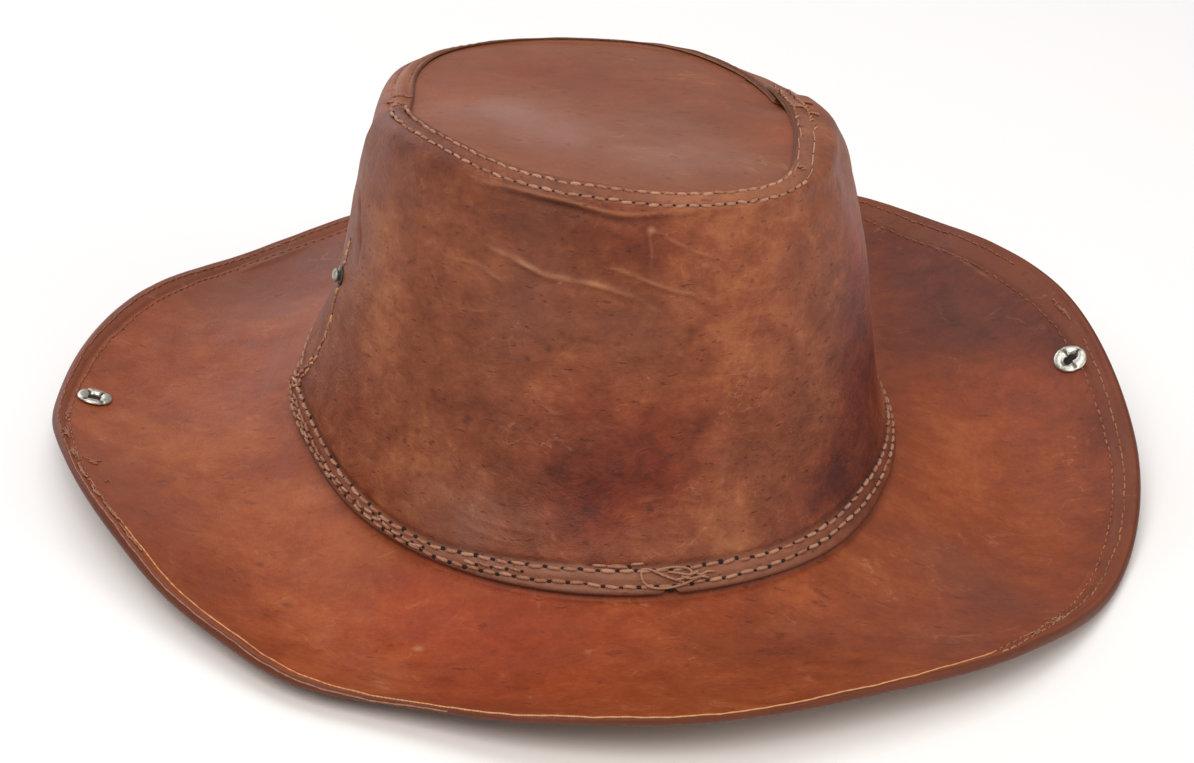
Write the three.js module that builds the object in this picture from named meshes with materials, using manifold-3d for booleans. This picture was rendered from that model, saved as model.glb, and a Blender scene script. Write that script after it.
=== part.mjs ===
// A wide-brimmed leather hat in millimetres, +Z up, standing on its brim.
// The origin is on the ground under the middle of the hat's box. The front faces -Y.
// Left and right are as seen from the front, so left is -X.
// Angles go round the hat from +X (0) by the back (90) and the left (180) to the front (270).
import * as THREE from 'three';
import * as BufferGeometryUtils from 'three/addons/utils/BufferGeometryUtils.js';
import Module from 'manifold-3d';

const wasm = await Module();
wasm.setup();

// Middle of the hat's box in the frame that the tables below are drawn in
const MIDDLE_X = 2.25;
const MIDDLE_Y = 0.9;

// Leather
const LEATHER = 1.8;
const GAP = 0.3;

// Plane of the crown's bottom edge, which lies over the brim, and how it waves round the hat
const BASE_HEIGHT = 18.8;
const BASE_RISE_TO_BACK = 4.9;
const BASE_RISE_TO_RIGHT = -0.3;
const BASE_SADDLE = -1.7;
const BASE_TWIST = -1.8;

// Top of the crown: height over the origin, its two slopes, and its twist and saddle for each mm squared
const TOP_HEIGHT = 120.9;
const TOP_SLOPE_TO_RIGHT = -0.002;
const TOP_SLOPE_TO_BACK = -0.090;
const TOP_TWIST = 0.00050;
const TOP_SADDLE = 0.00022;
const CROWN_HEIGHT = TOP_HEIGHT - BASE_HEIGHT;

// Outer face of the crown, from the bottom edge up over the shoulder to the edge turned in on top.
// climb: share of the way from the base plane to the top plane.
// left, right, front, back: reach of that level from the origin.
// power: 2 is an ellipse, more is squarer.
// seamLeft, seamRight: angle of the middle of each side seam, in degrees.
const CROWN = [
  { climb: 0.000, left: 99.1, right: 96.2, front: 115.8, back: 115.6, power: 2.00, seamLeft: 183, seamRight: 19 },
  { climb: 0.060, left: 97.2, right: 93.0, front: 111.0, back: 111.0, power: 2.00, seamLeft: 187, seamRight: 19 },
  { climb: 0.180, left: 92.2, right: 88.6, front: 102.0, back: 102.0, power: 2.04, seamLeft: 191, seamRight: 19 },
  { climb: 0.320, left: 88.1, right: 85.0, front: 95.0, back: 95.0, power: 2.08, seamLeft: 194, seamRight: 19 },
  { climb: 0.550, left: 84.4, right: 80.6, front: 87.5, back: 87.5, power: 2.13, seamLeft: 197, seamRight: 19 },
  { climb: 0.780, left: 79.5, right: 74.4, front: 82.5, back: 82.5, power: 2.18, seamLeft: 198, seamRight: 20 },
  { climb: 0.910, left: 77.6, right: 69.6, front: 79.6, back: 80.0, power: 2.22, seamLeft: 199, seamRight: 21 },
  { climb: 0.965, left: 75.6, right: 65.6, front: 77.4, back: 78.4, power: 2.25, seamLeft: 199, seamRight: 22 },
  { climb: 0.988, left: 72.2, right: 60.4, front: 74.4, back: 75.6, power: 2.27, seamLeft: 199, seamRight: 22 },
  { climb: 1.000, left: 66.2, right: 54.2, front: 71.2, back: 72.4, power: 2.27, seamLeft: 199, seamRight: 22 },
];
const FLARE_ROW = 2;
const WALL_TOP_ROW = 6;
const SHOULDER_ROW = 8;

// How the crown's edges leave those rows, by the angle round the hat in degrees.
// rim, shoulder, foot: how much further out lie the edge turned in on top, the shoulder and the bottom edge.
// droop: how far the shoulder hangs below the top.
const EDGES = [
  { angle: 0.0, rim: -2.6, shoulder: 0.0, droop: 0.5, foot: 0.8 },
  { angle: 22.5, rim: -3.6, shoulder: -1.0, droop: 1.6, foot: 0.4 },
  { angle: 45.0, rim: -0.7, shoulder: -0.5, droop: 2.2, foot: 0.0 },
  { angle: 67.5, rim: 3.1, shoulder: 1.5, droop: 2.2, foot: 0.0 },
  { angle: 90.0, rim: 4.4, shoulder: 2.5, droop: 2.2, foot: 0.0 },
  { angle: 112.5, rim: 4.6, shoulder: 2.5, droop: 2.2, foot: 0.0 },
  { angle: 135.0, rim: 3.6, shoulder: 1.5, droop: 2.2, foot: 0.0 },
  { angle: 157.5, rim: 1.4, shoulder: 0.0, droop: 1.2, foot: 0.0 },
  { angle: 180.0, rim: -0.8, shoulder: -0.3, droop: 0.8, foot: 0.2 },
  { angle: 202.5, rim: 0.6, shoulder: 0.5, droop: 0.0, foot: -2.9 },
  { angle: 225.0, rim: -1.7, shoulder: -0.5, droop: 0.0, foot: -1.9 },
  { angle: 247.5, rim: 1.2, shoulder: 0.3, droop: 0.0, foot: -1.5 },
  { angle: 270.0, rim: 1.9, shoulder: 0.8, droop: -0.2, foot: -0.9 },
  { angle: 292.5, rim: 4.2, shoulder: 2.2, droop: -0.5, foot: 0.6 },
  { angle: 315.0, rim: 6.0, shoulder: 3.0, droop: -0.4, foot: 2.5 },
  { angle: 337.5, rim: -1.0, shoulder: 0.2, droop: 0.0, foot: 0.5 },
];

// Lap of the front panel over the back panel, half its width as an angle, in degrees
const HALF_LAP = 4;
const UNDERLAP_FRONT_START = 5;
const UNDERLAP_FRONT_END = 18;
const UNDERLAP_BACK_START = 10;
const UNDERLAP_BACK_END = 60;

// Brim, by the angle round the hat in degrees.
// reach: distance of the edge from the origin. height: middle of the edge over the ground.
// sag: how far the brim dips half way out.
const BRIM = [
  { angle: 0.0, reach: 176.0, height: 16.0, sag: 9.0 },
  { angle: 22.5, reach: 173.1, height: 35.5, sag: 7.0 },
  { angle: 45.0, reach: 172.1, height: 33.4, sag: 6.0 },
  { angle: 67.5, reach: 175.3, height: 26.4, sag: 5.0 },
  { angle: 90.0, reach: 179.3, height: 19.5, sag: 5.0 },
  { angle: 112.5, reach: 176.6, height: 7.6, sag: 5.0 },
  { angle: 135.0, reach: 172.3, height: 2.3, sag: 8.4 },
  { angle: 157.5, reach: 170.7, height: 9.2, sag: 6.0 },
  { angle: 180.0, reach: 171.5, height: 9.6, sag: 5.0 },
  { angle: 202.5, reach: 172.1, height: 17.9, sag: 6.0 },
  { angle: 225.0, reach: 173.8, height: 10.5, sag: 8.4 },
  { angle: 247.5, reach: 176.5, height: 7.6, sag: 9.2 },
  { angle: 270.0, reach: 177.0, height: 15.2, sag: 6.0 },
  { angle: 292.5, reach: 174.2, height: 15.6, sag: 6.0 },
  { angle: 315.0, reach: 174.3, height: 11.6, sag: 5.5 },
  { angle: 337.5, reach: 175.2, height: 3.2, sag: 8.0 },
];
const BRIM_LEATHER = 2.0;
const HEM_WIDTH = 10.5;
const HEM_THICKNESS = 3.4;
// Depth of the inner margin that is turned up behind the crown's bottom edge, and the bend below it
const MARGIN = 7.5;
const BEND_DROP = 1.5;
const BEND_RADIUS = 2.0;
// Rings of faces near the brim's edge, as shares of the way out: either side of the hem's step, and the rim
const HEM_STEP = 0.015;
const RIM_START = 0.985;
// Roundness of the rim: its shares of the last ring's width and of the hem's thickness
const RIM_INSET = 0.35;
const RIM_HALF_HEIGHT = 0.3;

// Snap eyelets through the brim: angle in degrees and share of the way from the bend to the edge
const SNAPS = [
  { name: 'snap_left', angle: 182.5, out: 0.853 },
  { name: 'snap_right', angle: 13.0, out: 0.868 },
];
const EYELET_BARREL_RADIUS = 3.2;
const EYELET_HOLE_RADIUS = 2.6;
// Section of an eyelet: radius from its axis, and height over the brim's upper face
const EYELET_SECTION = [
  { radius: EYELET_HOLE_RADIUS, height: -4.6 },
  { radius: 4.6, height: -4.6 },
  { radius: 4.6, height: -3.9 },
  { radius: EYELET_BARREL_RADIUS, height: -3.9 },
  { radius: EYELET_BARREL_RADIUS, height: GAP },
  { radius: 5.1, height: GAP },
  { radius: 5.5, height: 0.7 },
  { radius: 4.9, height: 1.3 },
  { radius: 3.9, height: 1.5 },
  { radius: 3.1, height: 1.2 },
  { radius: EYELET_HOLE_RADIUS, height: 0.6 },
  { radius: EYELET_HOLE_RADIUS, height: -4.6 },
];

// Snap studs through the crown's side seams: share of the way up the crown's outer face
const STUD_PATH = 0.45;
const STUD_SHANK_RADIUS = 1.3;
// Section of a stud: radius from its axis, and height over the front panel's outer face
const STUD_SECTION = [
  { radius: 0, height: -5.0 },
  { radius: 3.0, height: -5.0 },
  { radius: 3.5, height: -4.2 },
  { radius: STUD_SHANK_RADIUS, height: -4.2 },
  { radius: STUD_SHANK_RADIUS, height: GAP },
  { radius: 3.3, height: GAP },
  { radius: 3.0, height: 0.9 },
  { radius: 1.7, height: 1.0 },
  { radius: 1.7, height: 1.5 },
  { radius: 2.3, height: 2.1 },
  { radius: 2.3, height: 3.3 },
  { radius: 1.4, height: 3.9 },
  { radius: 0, height: 3.9 },
];

// Fineness of the faces
const PANEL_STEPS_ROUND = 38;
const LONGEST_STEP_UP = 0.118;
const BRIM_STEPS_ROUND = 72;
const BRIM_STEPS_OUT = 8;
const TIP_STEPS_ROUND = 48;
const METAL_STEPS_ROUND = 12;
// As shares of the way out: rings of the tip inside its covered edge, and where it dips under the seams
const TIP_RINGS = [0.5, 0.85];
const TIP_DIP_START = 0.7;
// Length of the drill that makes a hole through the leather
const DRILL_LENGTH = 14;
// Small steps that a direction along the leather is measured over
const PATH_STEP = 0.01;
const OUT_STEP = 0.03;

const radians = THREE.MathUtils.degToRad;
const FULL_TURN = 2 * Math.PI;

const crownLeather = new THREE.MeshStandardMaterial({ color: 0x7f4a35, roughness: 0.55, metalness: 0 });
const tipLeather = new THREE.MeshStandardMaterial({ color: 0x8f5844, roughness: 0.5, metalness: 0 });
const brimLeather = new THREE.MeshStandardMaterial({ color: 0x8d4a30, roughness: 0.5, metalness: 0 });
const snapMetal = new THREE.MeshStandardMaterial({ color: 0xa9a296, roughness: 0.35, metalness: 1 });

// Smooth step from 0 at low to 1 at high.
function ease(low, high, value) {
  const share = THREE.MathUtils.clamp((value - low) / (high - low), 0, 1);
  return share * share * (3 - 2 * share);
}

// Cubic curve through values at uneven keys.
function curveThrough(keys, values, at) {
  const last = keys.length - 1;
  let start = 0;
  while (start < last - 1 && at > keys[start + 1]) {
    start += 1;
  }
  const slope = (row) => (values[row + 1] - values[row]) / (keys[row + 1] - keys[row]);
  const tangent = (row) => {
    if (row === 0) {
      return slope(0);
    }
    if (row === last) {
      return slope(last - 1);
    }
    const before = keys[row] - keys[row - 1];
    const after = keys[row + 1] - keys[row];
    return (slope(row - 1) * after + slope(row) * before) / (before + after);
  };
  const span = keys[start + 1] - keys[start];
  const t = (at - keys[start]) / span;
  const t2 = t * t;
  const t3 = t2 * t;
  return (2 * t3 - 3 * t2 + 1) * values[start]
    + (t3 - 2 * t2 + t) * span * tangent(start)
    + (3 * t2 - 2 * t3) * values[start + 1]
    + (t3 - t2) * span * tangent(start + 1);
}

// Cubic curve round the hat through one column of a table whose rows are evenly spaced angles.
function valueRound(table, column, angle) {
  const count = table.length;
  const turn = THREE.MathUtils.euclideanModulo(angle / FULL_TURN, 1) * count;
  const row = Math.floor(turn);
  const t = turn - row;
  const [a, b, c, d] = [-1, 0, 1, 2].map((step) => table[(row + step + count) % count][column]);
  return b + 0.5 * t * (c - a + t * (2 * a - 5 * b + 4 * c - d + t * (3 * (b - c) + d - a)));
}

// Distance along the crown's section of each row of its table, as a share of the whole section.
function crownPaths() {
  const lengths = [0];
  for (let row = 1; row < CROWN.length; row += 1) {
    const low = CROWN[row - 1];
    const high = CROWN[row];
    const inward = (low.left + low.right - high.left - high.right) / 2;
    const up = (high.climb - low.climb) * CROWN_HEIGHT;
    lengths.push(lengths[row - 1] + Math.hypot(inward, up));
  }
  const total = lengths[lengths.length - 1];
  return { total, shares: lengths.map((length) => length / total) };
}

const CROWN_PATH = crownPaths();
const FLARE = CROWN_PATH.shares[FLARE_ROW];
const WALL_TOP = CROWN_PATH.shares[WALL_TOP_ROW];
const SHOULDER = CROWN_PATH.shares[SHOULDER_ROW];
const crownColumns = Object.fromEntries(
  Object.keys(CROWN[0]).map((column) => [column, CROWN.map((row) => row[column])]),
);

function crownValue(column, path) {
  return curveThrough(CROWN_PATH.shares, crownColumns[column], path);
}

function baseHeight(angle) {
  return BASE_HEIGHT
    + BASE_RISE_TO_BACK * Math.sin(angle)
    + BASE_RISE_TO_RIGHT * Math.cos(angle)
    + BASE_SADDLE * Math.cos(2 * angle)
    + BASE_TWIST * Math.sin(2 * angle);
}

function topHeight(x, y) {
  return TOP_HEIGHT
    + TOP_SLOPE_TO_RIGHT * x
    + TOP_SLOPE_TO_BACK * y
    + TOP_TWIST * x * y
    + TOP_SADDLE * (x * x - y * y);
}

// Point on the crown's outer face: path runs from 0 at the bottom edge to 1 at the edge on top.
function crownPoint(angle, path) {
  const [left, right, front, back] = ['left', 'right', 'front', 'back'].map((side) => crownValue(side, path));
  const power = crownValue('power', path);
  const c = Math.cos(angle);
  const s = Math.sin(angle);
  const bulge = (Math.abs(c) ** power + Math.abs(s) ** power) ** (-1 / power);
  const reach = new THREE.Vector2(((left + right) / 2) * c * bulge, ((front + back) / 2) * s * bulge);
  const rimShare = THREE.MathUtils.clamp((path - SHOULDER) / (1 - SHOULDER), 0, 1);
  const shoulderShare = ease(WALL_TOP, SHOULDER, path) * (1 - rimShare);
  const footShare = 1 - ease(0, FLARE, path);
  const further = valueRound(EDGES, 'rim', angle) * rimShare
    + valueRound(EDGES, 'shoulder', angle) * shoulderShare
    + valueRound(EDGES, 'foot', angle) * footShare;
  reach.setLength(reach.length() + further);
  const x = (right - left) / 2 + reach.x;
  const y = (back - front) / 2 + reach.y;
  const base = baseHeight(angle);
  const plain = base + (topHeight(x, y) - base) * crownValue('climb', path);
  return new THREE.Vector3(x, y, plain - valueRound(EDGES, 'droop', angle) * shoulderShare);
}

function crownNormal(angle, path) {
  const step = 0.002;
  const round = crownPoint(angle + step, path).sub(crownPoint(angle - step, path));
  const high = Math.min(path + step, 1);
  const low = Math.max(path - step, 0);
  const up = crownPoint(angle, high).sub(crownPoint(angle, low));
  return round.cross(up).normalize();
}

// Point at a depth behind the crown's outer face.
function behindCrown(angle, path, depth) {
  return crownPoint(angle, path).addScaledVector(crownNormal(angle, path), -depth);
}

function seamAngle(side, path) {
  return radians(crownValue(side, path));
}

// Angle behind a side seam in degrees, positive towards the back of the hat.
function angleBehindSeam(side, angle, path) {
  const turn = side === 'seamLeft' ? seamAngle(side, path) - angle : angle - seamAngle(side, path);
  return THREE.MathUtils.radToDeg(THREE.MathUtils.euclideanModulo(turn + Math.PI, FULL_TURN) - Math.PI);
}

// How deep a layer under the front panel's laps lies: one leather and gap at the seams, none away from them.
function underlap(angle, path) {
  const shares = ['seamLeft', 'seamRight'].map((side) => {
    const behind = angleBehindSeam(side, angle, path);
    return behind >= 0
      ? 1 - ease(UNDERLAP_BACK_START, UNDERLAP_BACK_END, behind)
      : 1 - ease(UNDERLAP_FRONT_START, UNDERLAP_FRONT_END, -behind);
  });
  return (LEATHER + GAP) * Math.max(...shares);
}

// Closed body from rings of points, each ring joined to the next.
// endless: the last ring joins the first. Otherwise each end is closed by pairing its points across.
function solidFromRings(rings, endless) {
  const size = rings[0].length;
  const positions = rings.flat().flatMap((point) => point.toArray());
  const indices = [];
  const rounds = endless ? rings.length : rings.length - 1;
  for (let ring = 0; ring < rounds; ring += 1) {
    const next = (ring + 1) % rings.length;
    for (let i = 0; i < size; i += 1) {
      const j = (i + 1) % size;
      indices.push(ring * size + i, next * size + i, next * size + j);
      indices.push(ring * size + i, next * size + j, ring * size + j);
    }
  }
  if (!endless) {
    const lastRing = (rings.length - 1) * size;
    for (let i = 0; i < size / 2 - 1; i += 1) {
      const across = size - 1 - i;
      indices.push(i, i + 1, across - 1, i, across - 1, across);
      indices.push(lastRing + i, lastRing + across - 1, lastRing + i + 1);
      indices.push(lastRing + i, lastRing + across, lastRing + across - 1);
    }
  }
  return facingOut(positions, indices);
}

// Closed body from rings stacked from one centre point to another.
function solidFromStack(startPoint, rings, endPoint) {
  const size = rings[0].length;
  const points = [startPoint, ...rings.flat(), endPoint];
  const last = points.length - 1;
  const indices = [];
  for (let i = 0; i < size; i += 1) {
    const j = (i + 1) % size;
    indices.push(0, 1 + j, 1 + i);
    for (let ring = 0; ring < rings.length - 1; ring += 1) {
      const a = 1 + ring * size;
      const b = a + size;
      indices.push(a + i, a + j, b + j, a + i, b + j, b + i);
    }
    const top = 1 + (rings.length - 1) * size;
    indices.push(last, top + i, top + j);
  }
  return facingOut(points.flatMap((point) => point.toArray()), indices);
}

// Geometry of a closed body with its faces turned outwards.
function facingOut(positions, indices) {
  const corner = (index) => new THREE.Vector3().fromArray(positions, 3 * index);
  let volume = 0;
  for (let i = 0; i < indices.length; i += 3) {
    const [a, b, c] = [corner(indices[i]), corner(indices[i + 1]), corner(indices[i + 2])];
    volume += a.dot(b.cross(c));
  }
  if (volume < 0) {
    for (let i = 0; i < indices.length; i += 3) {
      [indices[i + 1], indices[i + 2]] = [indices[i + 2], indices[i + 1]];
    }
  }
  const geometry = new THREE.BufferGeometry();
  geometry.setAttribute('position', new THREE.Float32BufferAttribute(positions, 3));
  geometry.setIndex(indices);
  return geometry;
}

function toManifold(geometry) {
  const bare = geometry.clone();
  bare.deleteAttribute('normal');
  bare.deleteAttribute('uv');
  const merged = BufferGeometryUtils.mergeVertices(bare, 1e-4);
  return new wasm.Manifold(new wasm.Mesh({
    numProp: 3,
    vertProperties: new Float32Array(merged.attributes.position.array),
    triVerts: new Uint32Array(merged.index.array),
  }));
}

function fromManifold(solid) {
  const mesh = solid.getMesh();
  const geometry = new THREE.BufferGeometry();
  geometry.setAttribute('position', new THREE.Float32BufferAttribute(mesh.vertProperties, 3));
  geometry.setIndex(new THREE.Uint32BufferAttribute(mesh.triVerts, 1));
  return geometry;
}

// Cut round holes through a geometry, each given by its place, its axis and its radius.
function withHoles(geometry, holes) {
  const solid = holes.reduce((body, { place, axis, radius }) => {
    const drill = new THREE.CylinderGeometry(radius, radius, DRILL_LENGTH, METAL_STEPS_ROUND);
    drill.applyQuaternion(new THREE.Quaternion().setFromUnitVectors(new THREE.Vector3(0, 1, 0), axis));
    drill.translate(place.x, place.y, place.z);
    return body.subtract(toManifold(drill));
  }, toManifold(geometry));
  return fromManifold(solid);
}

// Paths of a panel's rings of faces: the rows of the crown's table, and steps between rows that lie far apart.
function panelPaths() {
  const { shares } = CROWN_PATH;
  return shares.flatMap((share, row) => {
    const next = shares[row + 1] ?? share;
    const steps = Math.max(Math.ceil((next - share) / LONGEST_STEP_UP), 1);
    return Array.from({ length: steps }, (_, i) => THREE.MathUtils.lerp(share, next, i / steps));
  });
}

// Crown panel between two edges, each edge an angle for each path, lying at a depth behind the outer face.
function panelGeometry(startAngle, endAngle, depthAt) {
  const rings = [];
  for (let i = 0; i <= PANEL_STEPS_ROUND; i += 1) {
    const outer = [];
    const inner = [];
    for (const path of panelPaths()) {
      const angle = THREE.MathUtils.lerp(startAngle(path), endAngle(path), i / PANEL_STEPS_ROUND);
      const depth = depthAt(angle, path);
      outer.push(behindCrown(angle, path, depth));
      inner.push(behindCrown(angle, path, depth + LEATHER));
    }
    rings.push([...outer, ...inner.reverse()]);
  }
  return solidFromRings(rings, false);
}

// Front panel: from its lap on the left seam round the front to its lap on the right seam.
function crownFront(holes) {
  const start = (path) => seamAngle('seamLeft', path) - radians(HALF_LAP);
  const end = (path) => FULL_TURN + seamAngle('seamRight', path) + radians(HALF_LAP);
  return withHoles(panelGeometry(start, end, () => 0), holes);
}

// Back panel: the same wall at the back, its side edges under the front panel's.
function crownBack(holes) {
  const start = (path) => seamAngle('seamRight', path) - radians(HALF_LAP);
  const end = (path) => seamAngle('seamLeft', path) + radians(HALF_LAP);
  return withHoles(panelGeometry(start, end, underlap), holes);
}

// Flat oval that closes the crown, under the edges of the panels turned in over it.
function crownTip() {
  const cover = LEATHER + GAP;
  const centreX = (crownColumns.right.at(-1) - crownColumns.left.at(-1)) / 2;
  const centreY = (crownColumns.back.at(-1) - crownColumns.front.at(-1)) / 2;
  const centre = new THREE.Vector3(centreX, centreY, topHeight(centreX, centreY) - cover);
  const ringUnderHem = (path) => ringOf(TIP_STEPS_ROUND, (angle) => (
    behindCrown(angle, path, cover + underlap(angle, path))
  ));
  const ringInside = (share) => ringOf(TIP_STEPS_ROUND, (angle) => {
    const rim = behindCrown(angle, 1, cover);
    const point = new THREE.Vector3().lerpVectors(centre, rim, share);
    const dip = underlap(angle, 1) * ease(TIP_DIP_START, 1, share);
    point.z = topHeight(point.x, point.y) - cover - dip;
    return point;
  });
  const top = [
    ...TIP_RINGS.map(ringInside),
    ringUnderHem(1),
    ringUnderHem((1 + SHOULDER) / 2),
    ringUnderHem(SHOULDER),
  ];
  const lowered = (point) => point.clone().setZ(point.z - LEATHER);
  const bottom = top.map((ring) => ring.map(lowered)).reverse();
  return solidFromStack(centre, [...top, ...bottom], lowered(centre));
}

function ringOf(steps, pointAt) {
  return Array.from({ length: steps }, (_, i) => pointAt((i / steps) * FULL_TURN));
}

// Foot of the brim's turned-up margin, on its upper face: the corner where the bend turns outwards.
function brimCorner(angle) {
  const downhill = crownPoint(angle, 0).sub(crownPoint(angle, PATH_STEP)).normalize();
  return behindCrown(angle, 0, LEATHER + GAP + underlap(angle, 0)).addScaledVector(downhill, BEND_DROP);
}

function brimEdge(angle) {
  const reach = valueRound(BRIM, 'reach', angle);
  const height = valueRound(BRIM, 'height', angle) + HEM_THICKNESS / 2;
  return new THREE.Vector3(reach * Math.cos(angle), reach * Math.sin(angle), height);
}

// Point on the brim's upper face: out runs from 0 at the bend to 1 at the edge.
function brimTop(angle, out) {
  const point = brimCorner(angle).lerp(brimEdge(angle), out);
  point.z -= valueRound(BRIM, 'sag', angle) * 4 * out * (1 - out);
  return point;
}

function brimNormal(angle, out) {
  const step = 0.01;
  const round = brimTop(angle + step, out).sub(brimTop(angle - step, out));
  const outward = brimTop(angle, out + step).sub(brimTop(angle, out - step));
  return outward.cross(round).normalize();
}

// Upper face of one brim section: the margin behind the crown's bottom edge, the bend, and the spread.
function brimSectionTop(angle) {
  const behind = LEATHER + GAP + underlap(angle, 0);
  const marginPath = MARGIN / CROWN_PATH.total;
  const corner = brimCorner(angle);
  const uphill = behindCrown(angle, 0, behind).sub(corner).normalize();
  const outward = brimTop(angle, OUT_STEP).sub(corner).normalize();
  const setback = BEND_RADIUS * Math.tan(uphill.angleTo(outward.clone().negate()) / 2);
  const bendStart = corner.clone().addScaledVector(uphill, setback);
  const bendEnd = corner.clone().addScaledVector(outward, setback);
  const bendMiddle = bendStart.clone().add(bendEnd).divideScalar(2).lerp(corner, 0.5);
  const points = [
    behindCrown(angle, marginPath, behind),
    behindCrown(angle, marginPath / 2, behind),
    bendStart,
    bendMiddle,
    bendEnd,
  ];
  const hemStart = 1 - HEM_WIDTH / brimEdge(angle).distanceTo(corner);
  for (let i = 1; i <= BRIM_STEPS_OUT; i += 1) {
    points.push(brimTop(angle, (i / BRIM_STEPS_OUT) * (hemStart - HEM_STEP)));
  }
  const hemOuts = [hemStart + HEM_STEP, (1 + hemStart) / 2, RIM_START];
  points.push(...hemOuts.map((out) => brimTop(angle, out)));
  return points;
}

// One closed section of the brim. Its lower face is flattened where it would pass the ground.
function brimSection(angle) {
  const top = brimSectionTop(angle);
  const hemPoints = 3;
  const bottom = top.map((point, i) => {
    const before = top[Math.max(i - 1, 0)];
    const after = top[Math.min(i + 1, top.length - 1)];
    const along = after.clone().sub(before);
    const across = new THREE.Vector3(-Math.sin(angle), Math.cos(angle), 0);
    const down = across.cross(along).normalize();
    if (i >= top.length - hemPoints) {
      return point.clone().addScaledVector(down, HEM_THICKNESS);
    }
    return point.clone().addScaledVector(down, BRIM_LEATHER);
  });
  const upper = top.map((point, i) => point.clone().setZ(point.z + Math.max(-bottom[i].z, 0)));
  const lower = bottom.map((point) => point.clone().setZ(Math.max(point.z, 0)));
  const rim = brimEdge(angle);
  rim.z = (upper.at(-1).z + lower.at(-1).z) / 2;
  const rimAbove = rim.clone().lerp(upper.at(-1), RIM_INSET);
  rimAbove.z = rim.z + HEM_THICKNESS * RIM_HALF_HEIGHT;
  const rimBelow = rimAbove.clone().setZ(rim.z - HEM_THICKNESS * RIM_HALF_HEIGHT);
  return [...upper, rimAbove, rimBelow, ...lower.reverse()];
}

function brim(holes) {
  const sections = ringOf(BRIM_STEPS_ROUND, brimSection);
  return withHoles(solidFromRings(sections, true), holes);
}

// Turned metal piece: a closed section spun about its own axis.
function turned(section) {
  const points = section.map(({ radius, height }) => new THREE.Vector2(radius, height));
  return new THREE.LatheGeometry(points, METAL_STEPS_ROUND);
}

function addPiece(hat, name, geometry, material) {
  const mesh = new THREE.Mesh(geometry, material);
  mesh.name = name;
  hat.add(mesh);
  return mesh;
}

// Stand a turned piece on a face, its own axis along the face's normal.
function seat(mesh, place, axis) {
  mesh.position.copy(place);
  mesh.quaternion.setFromUnitVectors(new THREE.Vector3(0, 1, 0), axis);
}

function buildHat() {
  const hat = new THREE.Group();
  hat.position.set(-MIDDLE_X, -MIDDLE_Y, 0);
  const snapSeats = SNAPS.map(({ name, angle, out }) => ({
    name,
    place: brimTop(radians(angle), out),
    axis: brimNormal(radians(angle), out),
    radius: EYELET_BARREL_RADIUS + GAP,
  }));
  const studSeats = ['left', 'right'].map((side) => {
    const angle = seamAngle(side === 'left' ? 'seamLeft' : 'seamRight', STUD_PATH);
    return {
      name: `crown_stud_${side}`,
      place: crownPoint(angle, STUD_PATH),
      axis: crownNormal(angle, STUD_PATH),
      radius: STUD_SHANK_RADIUS + GAP,
    };
  });
  addPiece(hat, 'crown_front', crownFront(studSeats), crownLeather);
  addPiece(hat, 'crown_back', crownBack(studSeats), crownLeather);
  addPiece(hat, 'crown_tip', crownTip(), tipLeather);
  addPiece(hat, 'brim', brim(snapSeats), brimLeather);
  snapSeats.forEach(({ name, place, axis }) => {
    seat(addPiece(hat, name, turned(EYELET_SECTION), snapMetal), place, axis);
  });
  studSeats.forEach(({ name, place, axis }) => {
    seat(addPiece(hat, name, turned(STUD_SECTION), snapMetal), place, axis);
  });
  return hat;
}

export default buildHat();
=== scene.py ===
# A worn leather hat with a wide wavy brim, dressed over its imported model.
# The tables are in millimetres in the part's drawing frame, as in the part's own source, and every
# vertex is moved by MIDDLE and scaled to metres as its mesh is made.
# Angles go round the hat from +X (0) by the back (90) and the left (180) to the front (270).
# A path runs up the crown's outer face from 0 at its bottom edge to 1 at the edge turned in on top.
import math

import bpy
import numpy as np
from mathutils import Matrix, Vector


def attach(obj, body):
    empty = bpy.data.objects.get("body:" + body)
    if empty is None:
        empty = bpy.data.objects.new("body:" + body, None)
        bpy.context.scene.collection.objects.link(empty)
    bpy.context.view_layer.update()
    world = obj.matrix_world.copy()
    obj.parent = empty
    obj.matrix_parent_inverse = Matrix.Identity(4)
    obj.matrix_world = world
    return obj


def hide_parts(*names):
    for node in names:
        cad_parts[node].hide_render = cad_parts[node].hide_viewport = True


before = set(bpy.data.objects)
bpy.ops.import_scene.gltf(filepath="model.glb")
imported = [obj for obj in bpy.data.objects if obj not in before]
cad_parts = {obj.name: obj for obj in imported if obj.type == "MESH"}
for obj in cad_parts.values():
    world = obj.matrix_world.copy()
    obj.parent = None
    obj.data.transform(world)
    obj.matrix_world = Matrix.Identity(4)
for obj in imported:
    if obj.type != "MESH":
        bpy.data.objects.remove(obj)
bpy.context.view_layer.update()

MM = 0.001
MIDDLE = np.array([2.25, 0.9, 0.0])
TAU = 2 * math.pi

# Steps of the fine faces, and how many of them make one step of the coarse faces behind
RATIO = 4
PANEL_ROUND_STEPS = 428
PANEL_UP_STEPS = 196
TIP_ROUND_STEPS = 288
TIP_OUT_STEPS = 64
BRIM_ROUND_STEPS = 720
SPREAD_STEPS = 56
HEM_STEPS = 28
ROLL_STEPS = 8
EYELET_STEPS = 144
STUD_STEPS = 40

# Camera, placed by its aim, its angles and its distance
CAMERA_AZIMUTH = -3.32
CAMERA_ELEVATION = 28.02
CAMERA_ROLL = -5.39
CAMERA_DISTANCE = 944.7
CAMERA_AIM_RIGHT = -0.49
CAMERA_AIM_UP = 24.16
CAMERA_LENS = 88.52

# Leather
LEATHER = 1.8
GAP = 0.3
EDGE_ROUND = 0.5

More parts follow.
